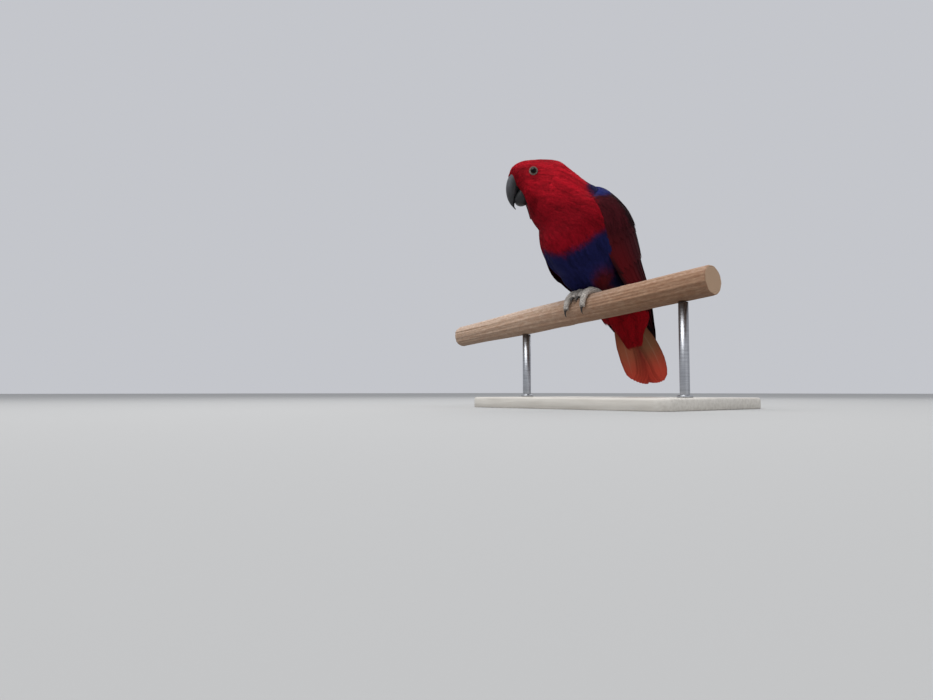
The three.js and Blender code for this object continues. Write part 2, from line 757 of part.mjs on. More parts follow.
let head = flesh(FACE_STATION, HEAD_STATION, 12, 0, 0, -GAP / 2).subtract(headCut);
eyeClear.forEach((clear) => {
  head = head.subtract(clear);
});
bird.add(meshOf('head', head, COLOURS.red));
bird.add(meshOf('neck', flesh(HEAD_STATION, NECK_STATION, 6, 0, GAP / 2, -GAP / 2), COLOURS.red));

const torso = flesh(NECK_STATION, TORSO_STATION, 16, 0, GAP / 2, 0);
const thighs = [1, -1].map((side) => thigh(side));
const thighClear = [1, -1].map((side) => thigh(side, GAP));
bird.add(meshOf('torso', torso, COLOURS.blue));
bird.add(meshOf('bill_upper', upperBill, COLOURS.bill, 0.35));
bird.add(meshOf('bill_lower', lowerBill, COLOURS.bill, 0.35));

[1, -1].forEach((side, index) => {
  const label = side > 0 ? 'left' : 'right';
  const lid = eyeLid(side).subtract(ball(eyeCentre(side), EYE.radius + GAP));
  bird.add(meshOf(`eye_${label}`, eyeBalls[index], COLOURS.eye, 0.1));
  bird.add(meshOf(`eyelid_${label}`, lid, COLOURS.lid));

  const feathered = wing(side).subtract(wholeFlesh).subtract(thighClear[index]);
  bird.add(meshOf(`wing_${label}`, feathered, COLOURS.maroon));

  const leg = thighs[index].subtract(wholeFlesh).subtract(perchClear);
  bird.add(meshOf(`thigh_${label}`, leg, COLOURS.maroon));

  const toes = TOES.map((toe) => toeSolid(toe, side));
  const claws = TOES.map((toe) => clawSolid(toe, side));
  const footSpace = unite([perchClear, thighClear[index], wholeFlesh]);
  const foot = unite([tarsus(side), ...toes]).subtract(footSpace);
  bird.add(meshOf(`foot_${label}`, foot, COLOURS.foot));
  TOES.forEach((toe, k) => {
    const claw = claws[k].subtract(toeSolid(toe, side, GAP)).subtract(perchClear);
    bird.add(meshOf(`claw_${label}_${toe.name}`, claw, COLOURS.claw, 0.4));
  });
});

const tailSpace = unite([wholeFlesh, wingEnvelope(1), wingEnvelope(-1)]);
bird.add(meshOf('tail', tail().subtract(tailSpace), COLOURS.tail));
bird.add(meshOf('perch', perch(), COLOURS.wood));

const base = meshOf('stand_base', roundedBase(), COLOURS.base);
model.add(base);
ROD_PLACES.forEach((x, index) => {
  bird.add(meshOf(`stand_rod_${index + 1}`, standRod(x), COLOURS.steel, 0.3, 1));
});

export default model;
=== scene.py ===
"""Looks of the red female eclectus parrot on her short perch and plain display stand.

Lengths are in millimetres in the bird's own frame until place() turns them into metres in
the part's frame: x to her left, y behind her, h above the perch's axis.
"""

import math
from collections import namedtuple

import bpy
import numpy as np
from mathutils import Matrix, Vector


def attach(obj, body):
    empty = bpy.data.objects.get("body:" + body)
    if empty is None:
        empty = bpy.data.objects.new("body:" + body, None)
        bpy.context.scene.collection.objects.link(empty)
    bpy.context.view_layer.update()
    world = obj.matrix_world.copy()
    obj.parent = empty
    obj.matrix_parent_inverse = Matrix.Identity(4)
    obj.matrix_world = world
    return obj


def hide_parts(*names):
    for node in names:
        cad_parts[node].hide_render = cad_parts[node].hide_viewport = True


# Frame shared with the part
PERCH_HEIGHT = 112.0
ORIGIN = np.array([-24.0, -22.0, PERCH_HEIGHT])
PERCH_RADIUS = 16.0
PERCH_END_RADIUS = 13.6
PERCH_LEFT = -212.0
PERCH_RIGHT = 168.0
PERCH_TILT = math.radians(5)
BASE_SIZE = (270.0, 190.0, 12.0)
BASE_CORNER = 16.0
ROD_RADIUS = 5.0
ROD_PLACES = (-86.0, 134.0)
NECK_AXIS_Y = -12.0
HEAD_TURN = 45.0
FOOT_SPREAD = 8.5
FOOT_SHIFT = 7.5
KNEE_SPREAD = 19.0
KNEE_SHIFT = 4.0
SEED = 20

# Camera at the photograph's viewing angle
CAMERA_PLACE = (499.6, -641.8, 18.1)
CAMERA_AZIMUTH = 49.45
CAMERA_PITCH = 3.42
CAMERA_LENS = 27.01


def srgb(red, green, blue):
    """Linear colour from 8-bit sRGB values."""
    def channel(value):
        value /= 255
        return value / 12.92 if value <= 0.04045 else ((value + 0.055) / 1.055) ** 2.4
    return np.array([channel(red), channel(green), channel(blue)])


CRIMSON = srgb(210, 26, 44)
# The deep red is the hood's painted shade low on the neck, and also the red at the wing's front edge.
CRIMSON_DEEP = srgb(148, 14, 29)
NAVY = srgb(32, 35, 84)
NAVY_SHADE = srgb(18, 20, 52)
NAVY_BACK = srgb(38, 46, 116)
MAROON = srgb(80, 24, 31)
WINE = srgb(110, 20, 27)
FLANK = srgb(92, 22, 28)
VENT_RED = srgb(142, 8, 20)
TAIL_TAN = srgb(164, 94, 68)
TAIL_ROSE = srgb(150, 72, 58)
TAIL_OLIVE = srgb(132, 90, 64)
TAIL_TIP_RED = srgb(222, 80, 62)
TAIL_SHAFT = srgb(206, 176, 150)
WING_DARK = srgb(30, 14, 18)


# Small maths
UP = np.array([0, 0, 1.0])


def lerp(a, b, t):
    return a + (b - a) * t


def tint(colour, other, amount):
    """Colours drawn towards another one, by an amount for each point."""
    return lerp(colour, other, np.asarray(amount)[..., None])


def circle(count):
    """Evenly spaced angles round a full turn."""
    return np.linspace(0, 2 * math.pi, count + 1)[:-1]


def step(low, high, value):
    """Smooth step from 0 at low to 1 at high."""
    t = np.clip((np.asarray(value, float) - low) / (high - low), 0, 1)
    return t * t * (3 - 2 * t)


def smooth(values, t):
    """Catmull-Rom through evenly spaced rows of values, for an array of t from 0 to 1."""
    values = np.asarray(values, float)
    t = np.asarray(t, float)
    last = len(values) - 1
    spot = np.clip(t, 0, 1) * last
    i = np.minimum(np.floor(spot).astype(int), last - 1)
    f = spot - i
    if values.ndim > 1:
        f = f[..., None]
    a = values[np.maximum(i - 1, 0)]
    b = values[i]
    c = values[i + 1]
    d = values[np.minimum(i + 2, last)]
    return b + 0.5 * f * (c - a + f * (2 * a - 5 * b + 4 * c - d + f * (3 * (b - c) + d - a)))


def unit(vectors):
    return vectors / np.maximum(np.linalg.norm(vectors, axis=-1, keepdims=True), 1e-9)


def place(points):
    """Metres in the part's frame."""
    return (np.asarray(points, float) + ORIGIN) / 1000


def neck_turned(side, behind, height, degrees):
    """Points turned about the neck's axis, from their places to the side of it and behind it."""
    turn = np.radians(degrees)
    x = side * np.cos(turn) + behind * np.sin(turn)
    y = behind * np.cos(turn) - side * np.sin(turn) + NECK_AXIS_Y
    return np.stack(np.broadcast_arrays(x, y, height), -1)


# The body's surface: stations from the face to the root of the tail, as in the part.
# Columns are ventral y and h, dorsal y and h, half width, turn, widest place.
STATIONS = np.array([
    [-63, 124, -84.5, 158, 11, 45, 0],
    [-62, 116, -80.5, 166.5, 17, 45, 0],
    [-60.5, 110, -69.5, 172.5, 20.5, 45, -0.05],
    [-58.5, 105, -56, 174, 22.5, 45, -0.1],
    [-56, 100, -41, 174, 24.5, 45, -0.1],
    [-52.5, 95, -26.5, 170.5, 26.5, 39, -0.1],
    [-49.5, 88, -14, 160, 28, 29, -0.05],
    [-49, 80, 2, 148.5, 31.5, 18, 0],
    [-48, 71, 21, 142, 37, 9, 0],
    [-42, 61, 37, 129.5, 39.5, 3, 0],
    [-33, 50, 47.5, 109, 38.5, 0, 0],
    [-20, 40, 55.5, 86, 36.5, 0, 0],
    [-3, 31, 62, 62, 33.5, 0, 0],
    [17, 21, 69, 41, 29.5, 0, 0],
    [37, 8, 75, 22, 26, 0, 0],
    [54, -7, 81, 4, 22, 0, 0],
    [66, -20, 85, -12, 17, 0, 0],
], float)
LAST_STATION = len(STATIONS) - 1


def body_point(station, angle, grow):
    """Points of the body's surface, with angle 0 at the throat and pi at the back. Stations
    below 0 carry on from the face over the root of the bill."""
    station, angle, grow = np.broadcast_arrays(station, angle, grow)
    row = smooth(STATIONS, station / LAST_STATION)
    row = row + np.minimum(station, 0)[..., None] * (STATIONS[1] - STATIONS[0])
    ventral = row[..., 0:2]
    dorsal = row[..., 2:4]
    half = (dorsal - ventral) / 2
    length = np.linalg.norm(half, axis=-1)
    half = half * ((length + grow) / length)[..., None]
    along = -np.cos(angle) + row[..., 6] * np.sin(angle) ** 2
    middle = (dorsal + ventral) / 2 + half * along[..., None]
    side = (row[..., 4] + grow) * np.sin(angle)
    return neck_turned(side, middle[..., 0] - NECK_AXIS_Y, middle[..., 1], row[..., 5])


def head_point(ahead, side, height):
    return neck_turned(side, -ahead, height, HEAD_TURN)


def side_name(side):
    return "left" if side > 0 else "right"


# Mesh making
CAP_RINGS = 4


def new_object(name, data):
    thing = bpy.data.objects.new(name, data)
    bpy.context.scene.collection.objects.link(thing)
    return thing


def mesh_object(name, points, quads):
    """A smooth mesh object from arrays of points in millimetres and of quads."""
    points = place(points).reshape(-1, 3)
    quads = np.asarray(quads, np.int32).reshape(-1, 4)
    mesh = bpy.data.meshes.new(name)
    mesh.vertices.add(len(points))
    mesh.vertices.foreach_set("co", points.ravel().astype(np.float32))
    mesh.loops.add(quads.size)
    mesh.loops.foreach_set("vertex_index", quads.ravel())
    mesh.polygons.add(len(quads))
    mesh.polygons.foreach_set("loop_start", np.arange(0, quads.size, 4, dtype=np.int32))
    mesh.update(calc_edges=True)
    mesh.validate()
    mesh.shade_smooth()
    return new_object(name, mesh)


def grid_quads(rows, columns, closed=False):
    """Quads of one grid of rows by columns of points."""
    r, c = np.meshgrid(np.arange(rows - 1), np.arange(columns if closed else columns - 1), indexing="ij")
    here = r * columns + c
    beside = r * columns + (c + 1) % columns
    return np.stack([here, beside, beside + columns, here + columns], -1).reshape(-1, 4)


def tube_object(name, rings):
    """A tube through rings of points, with two more at each end that draw it together."""
    rings = np.asarray(rings, float)
    first, last = rings[0], rings[-1]
    start = [lerp(first, first.mean(0), t) for t in (0.995, 0.5)]
    end = [lerp(last, last.mean(0), t) for t in (0.5, 0.995)]
    rings = np.concatenate([start, rings, end])
    return mesh_object(name, rings, grid_quads(len(rings), rings.shape[1], closed=True))


def add_uv(thing, name, across, along):
    """A UV map from one pair of places for each point."""
    mesh = thing.data
    layer = mesh.uv_layers.new(name=name)
    index = np.empty(len(mesh.loops), np.int32)
    mesh.loops.foreach_get("vertex_index", index)
    pairs = np.stack(np.broadcast_arrays(across, along), -1).reshape(-1, 2)
    layer.data.foreach_set("uv", pairs[index].astype(np.float32).ravel())


def add_colour(thing, colours):
    """The plumage colour of every point."""
    layer = thing.data.color_attributes.new("plumage", "FLOAT_COLOR", "POINT")
    full = np.ones((len(thing.data.vertices), 4), np.float32)
    full[:, :3] = np.asarray(colours).reshape(-1, 3)
    layer.data.foreach_set("color", full.ravel())


def joined(name, things):
    """One object made of several."""
    bpy.ops.object.select_all(action="DESELECT")
    for thing in things:
        thing.select_set(True)
    bpy.context.view_layer.objects.active = things[0]
    bpy.ops.object.join()
    things[0].name = name
    return things[0]


def finish_piece(thing, material, slot, *nodes):
    """Gives a piece its material, and says what it rides on and which nodes it stands for."""
    thing.data.materials.clear()
    thing.data.materials.append(material)
    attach(thing, "root")
    if nodes:
        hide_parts(*nodes)


# Materials
class Nodes:
    """A short way to write one node material."""

    def __init__(self, name):
        self.material = bpy.data.materials.new(name)
        self.material.use_nodes = True
        self.tree = self.material.node_tree
        self.shader = self.tree.nodes["Principled BSDF"]

    def add(self, kind, **settings):
        node = self.tree.nodes.new(kind)
        for key, value in settings.items():
            if hasattr(node, key) and key not in node.inputs:
                setattr(node, key, value)
            else:
                node.inputs[key].default_value = value
        return node

    def link(self, source, target):
        self.tree.links.new(source, target)

    def feed(self, socket, value):
        """Sets a socket to a number or a colour, or links an output to it."""
        if isinstance(value, (int, float)):
            socket.default_value = value
        elif isinstance(value, (tuple, np.ndarray)):
            socket.default_value = (*value, 1)
        else:
            self.link(value, socket)

    def reads(self, vector, kind, **settings):
        """Outputs of a new node that reads a vector."""
        node = self.add(kind, **settings)
        self.link(vector, node.inputs["Vector"])
        return node.outputs

    def split(self, vector):
        return self.reads(vector, "ShaderNodeSeparateXYZ")

    def coords(self):
        return self.add("ShaderNodeTexCoord").outputs["Object"]

    def uv(self, name):
        return self.add("ShaderNodeUVMap", uv_map=name).outputs["UV"]

    def plumage(self):
        return self.add("ShaderNodeVertexColor", layer_name="plumage").outputs["Color"]

    def noise(self, vector, scale, detail, stretch=None):
        if stretch:
            vector = self.reads(vector, "ShaderNodeMapping", Scale=stretch)["Vector"]
        return self.reads(vector, "ShaderNodeTexNoise", Scale=scale, Detail=detail)["Fac"]

    def ramp(self, value, *stops):
        """Colours between stops, each a place and a colour or a number for a grey."""
        node = self.add("ShaderNodeValToRGB")
        elements = node.color_ramp.elements
        while len(elements) < len(stops):
            elements.new(0.5)
        for element, (position, colour) in zip(elements, stops):
            element.position = position
            element.color = (*np.full(3, colour, float), 1)
        self.link(value, node.inputs["Fac"])
        return node.outputs["Color"]

    def scaled(self, value, low, high, start=0.0, end=1.0):
        """Maps the range from start to end onto the range from low to high."""
        node = self.add("ShaderNodeMapRange")
        for key, number in zip(("To Min", "To Max", "From Min", "From Max"), (low, high, start, end)):
            node.inputs[key].default_value = number
        self.link(value, node.inputs["Value"])
        return node.outputs["Result"]

    def math(self, operation, first, second):
        node = self.add("ShaderNodeMath", operation=operation)
        self.feed(node.inputs[0], first)
        self.feed(node.inputs[1], second)
        return node.outputs["Value"]

    def mix(self, factor, first, second, blend="MIX"):
        node = self.add("ShaderNodeMix", data_type="RGBA", blend_type=blend)
        for key, value in (("Factor", factor), (6, first), (7, second)):
            self.feed(node.inputs[key], value)
        return node.outputs[2]

    def darker(self, factor, colour, shade):
        """A colour drawn towards itself times a shade."""
        return self.mix(factor, colour, self.mix(1.0, colour, shade, "MULTIPLY"))

    def bump(self, height, strength, distance):
        """Adds relief over what the surface already has."""
        node = self.add("ShaderNodeBump", Strength=strength, Distance=distance)
        self.link(height, node.inputs["Height"])
        normal = self.shader.inputs["Normal"]
        if normal.links:
            self.link(normal.links[0].from_socket, node.inputs["Normal"])
        self.link(node.outputs["Normal"], normal)

    def finish(self, colour, roughness, **values):
        """The finished material, from its colour, its roughness and the shader's other values."""
        self.feed(self.shader.inputs["Base Color"], colour)
        self.feed(self.shader.inputs["Roughness"], roughness)
        for key, value in values.items():
            self.shader.inputs[key.replace("_", " ")].default_value = value
        return self.material


def feather_material(name, roughness, barbs):
    """Feathers: the plumage colour, streaked along the barbs, with fine ridges."""
    n = Nodes(name)
    vane = n.uv("Vane")
    streak = n.noise(vane, 5.0, 3.0, (5.0, 0.35, 1.0))
    colour = n.darker(n.scaled(streak, 0.0, 0.4), n.plumage(), (0.34, 0.3, 0.34))
    colour = n.darker(n.scaled(n.noise(n.coords(), 60.0, 3.0), 0.0, 0.2), colour, (0.55, 0.5, 0.55))
    wave = n.reads(vane, "ShaderNodeTexWave", wave_type="BANDS", bands_direction="DIAGONAL", Scale=barbs,
                   Distortion=0.6)
    n.bump(wave["Fac"], 0.3, 0.0002)
    return n.finish(colour, n.scaled(streak, roughness - 0.08, roughness + 0.1), Specular_IOR_Level=0.06)


def skin_material():
    n = Nodes("skin_under_coat")
    cells = n.noise(n.coords(), 320.0, 5.0)
    n.bump(cells, 0.5, 0.0006)
    colour = n.darker(n.scaled(cells, 0.35, 0.8), n.plumage(), (0.25, 0.25, 0.25))
    return n.finish(colour, 0.85, Specular_IOR_Level=0.2)


def bill_material(name, light):
    """Grey horn with fine layers, darker at the tip, with painted shade along the ridge and the cutting edge
    and a painted highlight between them; light scales its greys as painted light and shade.
    """
    n = Nodes(name)
    along = n.uv("Along")
    layers = n.noise(along, 4.0, 6.0, (9.0, 1.2, 1.0))
    cloud = n.noise(n.coords(), 90.0, 4.0)
    greys = ((0.3, srgb(26, 26, 28)), (0.55, srgb(56, 56, 60)), (0.75, srgb(98, 98, 102)))
    base = n.ramp(cloud, *((position, light * grey) for position, grey in greys))
    colour = n.mix(n.scaled(layers, 0.0, 0.5), base, light * srgb(104, 104, 108))
    places = n.split(along)
    tip = n.ramp(places["Y"], (0.3, 0), (0.75, 1))
    # Painted shade along the ridge and the cutting edge, with a painted highlight band between them.
    ridge = n.ramp(places["X"], (0.0, 1), (0.45, 0.9), (0.62, 0.1), (0.8, 0), (0.95, 0.7))
    dark = n.math("MAXIMUM", n.math("MULTIPLY", tip, 0.85), n.math("MULTIPLY", ridge, 0.75))
    n.bump(layers, 0.25, 0.0004)
    colour = n.mix(dark, colour, srgb(14, 14, 16))
    return n.finish(colour, n.scaled(cloud, 0.28, 0.46), Specular_IOR_Level=0.4)


def scaly_material(name, dark, light, scale):
    """Small scales with dark lines between them."""
    n = Nodes(name)
    where = n.coords()
    cells = n.reads(where, "ShaderNodeTexVoronoi", feature="DISTANCE_TO_EDGE", Scale=scale)
    scales = n.scaled(cells["Distance"], 0.0, 1.0, 0.0, 0.12)
    tone = n.noise(where, 140.0, 4.0)
    n.bump(scales, 0.6, 0.0005)
    colour = n.mix(scales, dark * 0.55, n.ramp(tone, (0.3, dark), (0.7, light)))
    return n.finish(colour, n.scaled(tone, 0.5, 0.7))


def grained_material(name, grain, dark, light, relief, rough, uv=None, **values):
    """Streaks of two colours. The grain is a noise's scale, detail and stretch."""
    n = Nodes(name)
    tone = n.noise(n.uv(uv) if uv else n.coords(), *grain)
    n.bump(tone, *relief)
    return n.finish(n.ramp(tone, (0.3, dark), (0.7, light)), n.scaled(tone, *rough), **values)


def claw_material():
    return grained_material("claw_horn", (6.0, 5.0, (6.0, 1.0, 1.0)), srgb(24, 22, 22), srgb(62, 56, 52),
                            (0.2, 0.0002), (0.3, 0.5), uv="Along")


def board_material():
    return grained_material("stand_board", (12.0, 6.0, (2.0, 22.0, 22.0)), srgb(206, 200, 190),
                            srgb(226, 221, 212), (0.15, 0.0004), (0.45, 0.6))


def steel_material():
    return grained_material("stand_satin_steel", (60.0, 4.0, (1.0, 1.0, 40.0)), srgb(150, 152, 156),
                            srgb(186, 188, 192), (0.08, 0.0002), (0.26, 0.42), Metallic=1.0)


def eye_material():
    """Pupil, iris and the dark rim, by the distance from the eye's own axis."""
    n = Nodes("eye_ball")
    iris = n.uv("Iris")
    fibres = n.noise(iris, 3.0, 5.0, (1.0, 22.0, 1.0))
    colour = n.ramp(n.split(iris)["X"], (0.0, srgb(3, 3, 4)), (0.58, srgb(4, 4, 5)), (0.61, srgb(50, 32, 20)),
                    (0.67, srgb(78, 52, 34)), (0.74, srgb(40, 26, 18)), (0.8, srgb(12, 10, 10)))
    colour = n.mix(n.scaled(fibres, 0.0, 0.35), colour, srgb(10, 8, 8))
    return n.finish(colour, n.scaled(fibres, 0.04, 0.08), Specular_IOR_Level=0.12)


def bark_material():
    """A debarked branch: long grain, stains and cracks, painted highlights in pale patches on top,
    painted shade on the underside, and a browner colour towards its thick end."""
    n = Nodes("perch_wood")
    along = n.uv("Along")
    grain = n.noise(along, 3.0, 8.0, (22.0, 1.3, 1.0))
    broad = n.noise(along, 2.0, 4.0, (3.5, 1.2, 1.0))
    fine = n.noise(along, 9.0, 8.0, (48.0, 1.6, 1.0))
    cracks = n.ramp(n.noise(along, 5.0, 6.0, (30.0, 0.8, 1.0)), (0.34, 1), (0.39, 0))
    highlight_patches = n.ramp(n.noise(along, 4.0, 6.0, (6.0, 1.6, 1.0)), (0.4, 0), (0.6, 0.7))
    colour = n.ramp(grain, (0.3, srgb(150, 120, 98)), (0.43, srgb(192, 164, 142)),
                    (0.56, srgb(206, 178, 154)), (0.72, srgb(224, 202, 182)))
    stains = n.ramp(fine, (0.36, srgb(150, 112, 88)), (0.62, srgb(208, 176, 150)))
    colour = n.mix(n.ramp(broad, (0.38, 0), (0.62, 0.9)), colour, stains)
    colour = n.mix(n.math("MULTIPLY", cracks, 0.7), colour, srgb(96, 70, 54))
    # Painted highlight in pale patches on the top and painted shade on the underside, by which way the
    # surface faces.
    facing = n.split(n.add("ShaderNodeNewGeometry").outputs["Normal"])["Z"]
    above = n.scaled(facing, 0.0, 1.0, 0.3, 0.95)
    below = n.scaled(facing, 0.0, 1.0, 0.25, -0.9)
    colour = n.mix(n.math("MULTIPLY", above, highlight_patches), colour, srgb(236, 220, 208))
    colour = n.mix(n.math("MULTIPLY", below, 0.6), colour, srgb(100, 80, 66))
    thick_end = n.scaled(n.split(n.coords())["X"], 0.0, 1.0, -0.1, 0.06)
    colour = n.mix(1.0, colour, n.ramp(thick_end, (0.0, 1), (1.0, (0.72, 0.6, 0.51))), "MULTIPLY")
    n.bump(grain, 0.6, 0.0012)
    n.bump(fine, 0.45, 0.0005)
    return n.finish(colour, n.scaled(grain, 0.62, 0.85), Specular_IOR_Level=0.25)


def end_grain_material():
    """Year rings round the perch's axis."""
    n = Nodes("perch_end_grain")
    height = ORIGIN[2] * math.cos(PERCH_TILT) - ORIGIN[0] * math.sin(PERCH_TILT)
    centred = n.reads(n.coords(), "ShaderNodeMapping", Rotation=(0, PERCH_TILT, 0),
                      Location=(0, -ORIGIN[1] / 1000, -height / 1000))
    rings = n.reads(centred["Vector"], "ShaderNodeTexWave", wave_type="RINGS", rings_direction="X",
                    Scale=190.0, Distortion=3.0)
    n.bump(rings["Fac"], 0.3, 0.0004)
    return n.finish(n.ramp(rings["Fac"], (0.2, srgb(150, 116, 90)), (0.8, srgb(204, 174, 144))), 0.85)


# Other surfaces of the bird, each a function of two places and of how far out it lies
FEET_HEIGHT = 27.0


def perch_point(x):
    x = np.asarray(x, float)
    return np.stack([x * math.cos(PERCH_TILT), 0 * x, x * math.sin(PERCH_TILT)], -1)


def perch_radius(x):
    return lerp(PERCH_END_RADIUS, PERCH_RADIUS, step(PERCH_LEFT, -60, x))


def foot_place(side):
    return perch_point(FOOT_SHIFT + side * FOOT_SPREAD)


def thigh_surface(side):
    """The feathered thigh, from the knee at 0 to the ankle at 1."""
    knee = np.array([KNEE_SHIFT + side * KNEE_SPREAD, 2, 51])
    ankle = foot_place(side) + np.array([0, 9.5, FEET_HEIGHT - 2.5])
    axis = unit(ankle - knee)
    across = unit(np.cross(axis, [0, 0, 1]))
    front = np.cross(across, axis)

    def surface(t, angle, grow):
        t, angle, grow = np.broadcast_arrays(t, angle, grow)
        radius = smooth([12, 16, 15.5, 12.5, 8], t) + grow
        centre = knee + (ankle - knee) * t[..., None]
        return (centre + (radius * np.cos(angle))[..., None] * across
                + (radius * np.sin(angle))[..., None] * front)
    return surface


# The left wing's outer surface: rows from the shoulder over the wrist to the tip, each with
# the front edge, the middle and the back edge. The right wing mirrors it, with its front
# edge further forward at the belly and its tip nearer to the tail.
WING_ROWS = np.array([
    [[28.5, -24, 120], [25, -9, 132.5], [13, 2, 142.5]],
    [[36.5, -25, 116], [41, 3, 126.5], [19.5, 24, 141.5]],
    [[43.5, -21, 97], [50.5, 20, 112], [19, 46, 119]],
    [[44.5, -12, 70], [53, 36, 88], [16, 67, 95]],
    [[46, 11, 40], [51, 54, 56], [12, 80, 64]],
    [[40, 58, 9], [45, 79, 23], [10, 92, 30]],
    [[34.5, 93, -17], [31, 102, -11], [11, 103, -8]],
    [[28, 114.5, -46], [25, 116.5, -46], [22, 117.5, -45]],
], float)
WING_TIP = len(WING_ROWS) - 1
RIGHT_FRONT_SHIFT = np.array([0, -6.5, 0])
RIGHT_TIP_SHIFT = np.array([-8.0, -4.0, 0])


def wing_surface(side):
    """The wing by rows, from the shoulder at 0, and from the front edge at 0 to the back at 1."""
    def bare(s, q):
        front, middle, back = (smooth(WING_ROWS[:, k], s / WING_TIP) for k in range(3))
        if side < 0:
            front = front + (step(1.8, 3, s) * step(5, 3.6, s))[..., None] * RIGHT_FRONT_SHIFT
        pull = 2 * middle - (front + back) / 2
        q = q[..., None]
        point = front * (1 - q) ** 2 + pull * 2 * q * (1 - q) + back * q * q
        if side < 0:
            point = point + step(4, WING_TIP, s)[..., None] * RIGHT_TIP_SHIFT
        return point

    def surface(s, q, grow):
        s, q, grow = (np.array(v, float) for v in np.broadcast_arrays(s, q, grow))
        along = bare(np.clip(s + 0.12, 0, WING_TIP), q) - bare(np.clip(s - 0.12, 0, WING_TIP), q)
        across = bare(s, q + 0.02) - bare(s, q - 0.02)
        point = bare(s, q) + unit(np.cross(along, across)) * grow[..., None]
        return point * np.array([side, 1, 1])
    return surface


def sunk_wing(side):
    """The wing's outer surface, sunk at its top and front, where the body's coat covers it."""
    whole = wing_surface(side)

    def surface(s, q, grow):
        return whole(s, q, grow - 2.2 * step(0.6, 0.0, s) - 2.0 * step(0.13, 0.04, q) * step(3.6, 2.8, s))
    return surface


# The flesh of the wing: the depths of its outer and inner face, and what each edge lacks
ARM_OUTER = (0.6, 0.6, 1, 2.6, 4.6, 6.7, 8.4)
ARM_INNER = (6, 9, 12, 13, 12.5, 12, 10.4)
ARM_MARGIN = (0.1, 0.06, 0.04, 0.03, 0.04, 0.07, 0.12)


def wing_arm(side, sink):
    """Rings round the flesh of the wing, sunk below its outer face."""
    surface = wing_surface(side)
    t = np.linspace(0, 1, 40)[:, None]
    s = lerp(0.1, 4.0, t)
    margin = smooth(ARM_MARGIN, t)
    part = np.linspace(0, 1, 24)[None]
    q = lerp(margin, 1 - margin, part)
    edge = (np.abs(part - 0.5) * 2) ** 6 * 1.2
    outer = surface(s, q, -(smooth(ARM_OUTER, t) + sink + edge))
    inner = surface(s, q, -smooth(ARM_INNER, t))
    return np.concatenate([outer, inner[:, ::-1]], axis=1)


# The tail: its axis, and the shell of flesh and coverts round its root
TAIL_ROOT = np.array([5.0, 73.0, 4.0])
TAIL_TIP = np.array([19.0, 105.0, -82.0])
TAIL_TURN = math.radians(20)
TAIL_ARCH = 2.5
TAIL_BOW = 3.5
TAIL_AXIS = unit(TAIL_TIP - TAIL_ROOT)
TAIL_LEVEL = np.array([math.cos(TAIL_TURN), math.sin(TAIL_TURN), 0])
TAIL_ACROSS = unit(TAIL_LEVEL - TAIL_AXIS * TAIL_AXIS.dot(TAIL_LEVEL))
TAIL_BACK = np.cross(TAIL_ACROSS, TAIL_AXIS)


def tail_point(t, across, depth):
    t, across, depth = np.broadcast_arrays(t, across, depth)
    arch = depth - TAIL_ARCH * (across / 26) ** 2
    bow = across + TAIL_BOW * 6.75 * t * t * (1 - t)
    return (TAIL_ROOT + (TAIL_TIP - TAIL_ROOT) * t[..., None]
            + bow[..., None] * TAIL_ACROSS + arch[..., None] * TAIL_BACK)


def tail_shell(t, angle, grow):
    """Round the root of the tail, with angle 0 at her left and half pi at the back. It flares
    on her left, where it closes the space below the wing."""
    t, angle, grow = np.broadcast_arrays(t, angle, grow)
    cos, sin = np.cos(angle), np.sin(angle)
    part = (t + 0.1) / 0.62
    wide = smooth([18, 20.5, 19.5, 16.2, 13.5, 11], part) + grow
    back = smooth([6, 7, 6.4, 5, 4, 3.6], part) + grow
    front = smooth([13, 17.5, 16, 12, 8, 6], part) + grow
    flare = 10.5 * step(0.2, 0.9, cos) * step(-0.8, 0, sin) * step(0.42, 0.15, t)
    shift = 5.5 * step(0.1, 0.5, t) * np.minimum(sin, 0)
    return tail_point(t, (wide + flare) * cos + shift, sin * np.where(sin > 0, back, front))


# Plumage colours
HOOD_LOW = 58
HOOD_MIDDLE = 8
EYE = (44.5, 18.0, 155.0)
WING_RED_HEIGHTS = [84, 94, 104, 119, 126]
WING_RED_EDGE = [-14, -17, -18.7, -19, -16]


def head_places(points):
    """How far points lie ahead of the neck's axis and to either side of it, and their heights."""
    turn = math.radians(HEAD_TURN)
    x, y = points[..., 0], points[..., 1] - NECK_AXIS_Y
    ahead = -x * math.sin(turn) - y * math.cos(turn)
    return ahead, np.abs(x * math.cos(turn) - y * math.sin(turn)), points[..., 2]


def hood_edge(x):
    """The height of the red hood's edge on the breast, lowest a little to her left."""
    off = np.minimum(np.abs(x - HOOD_MIDDLE), 32) / 21
    return HOOD_LOW + np.where(x < HOOD_MIDDLE, 6, 10.5) * off ** 1.5


def hood_red_with_painted_light(points):
    """The hood's red with painted light and shade: brightest on the crown and nape and lighter along the
    throat's midline as painted light, darker on the neck, at the lores and chin by the bill and round the eye
    as painted shade, and a little lighter low on the breast.
    """
    ahead, aside, height = head_places(points)
    # Painted light: the height that sets the red's brightness, raised on the nape and along the throat's
    # midline.
    level = height + 14 * step(-45, -15, points[..., 1]) + 8 * step(16, 4, aside) * step(20, 40, ahead)
    lores_painted_shade = step(46, 60, ahead) * step(166, 158, height)
    chin_painted_shade = np.exp(-((ahead - 48) / 12) ** 2 - ((height - 117) / 14) ** 2)
    ring = np.exp(-((ahead - EYE[0]) ** 2 + (height - EYE[2]) ** 2) / 120)
    # Painted shade at the lores, the chin and round the eye, and painted light low on the breast.
    light = 1 + 0.3 * step(90, 66, height) - 0.45 * np.maximum(lores_painted_shade, chin_painted_shade) - 0.3 * ring
    return tint(CRIMSON_DEEP, CRIMSON, step(102, 142, level)) * light[..., None]


def flank_patch(x, y, h):
    """The red-brown patch on the side of the thigh."""
    return step(-13, -1, y) * step(22, 14, y) * step(52, 32, h) * step(19, 27, np.abs(x))


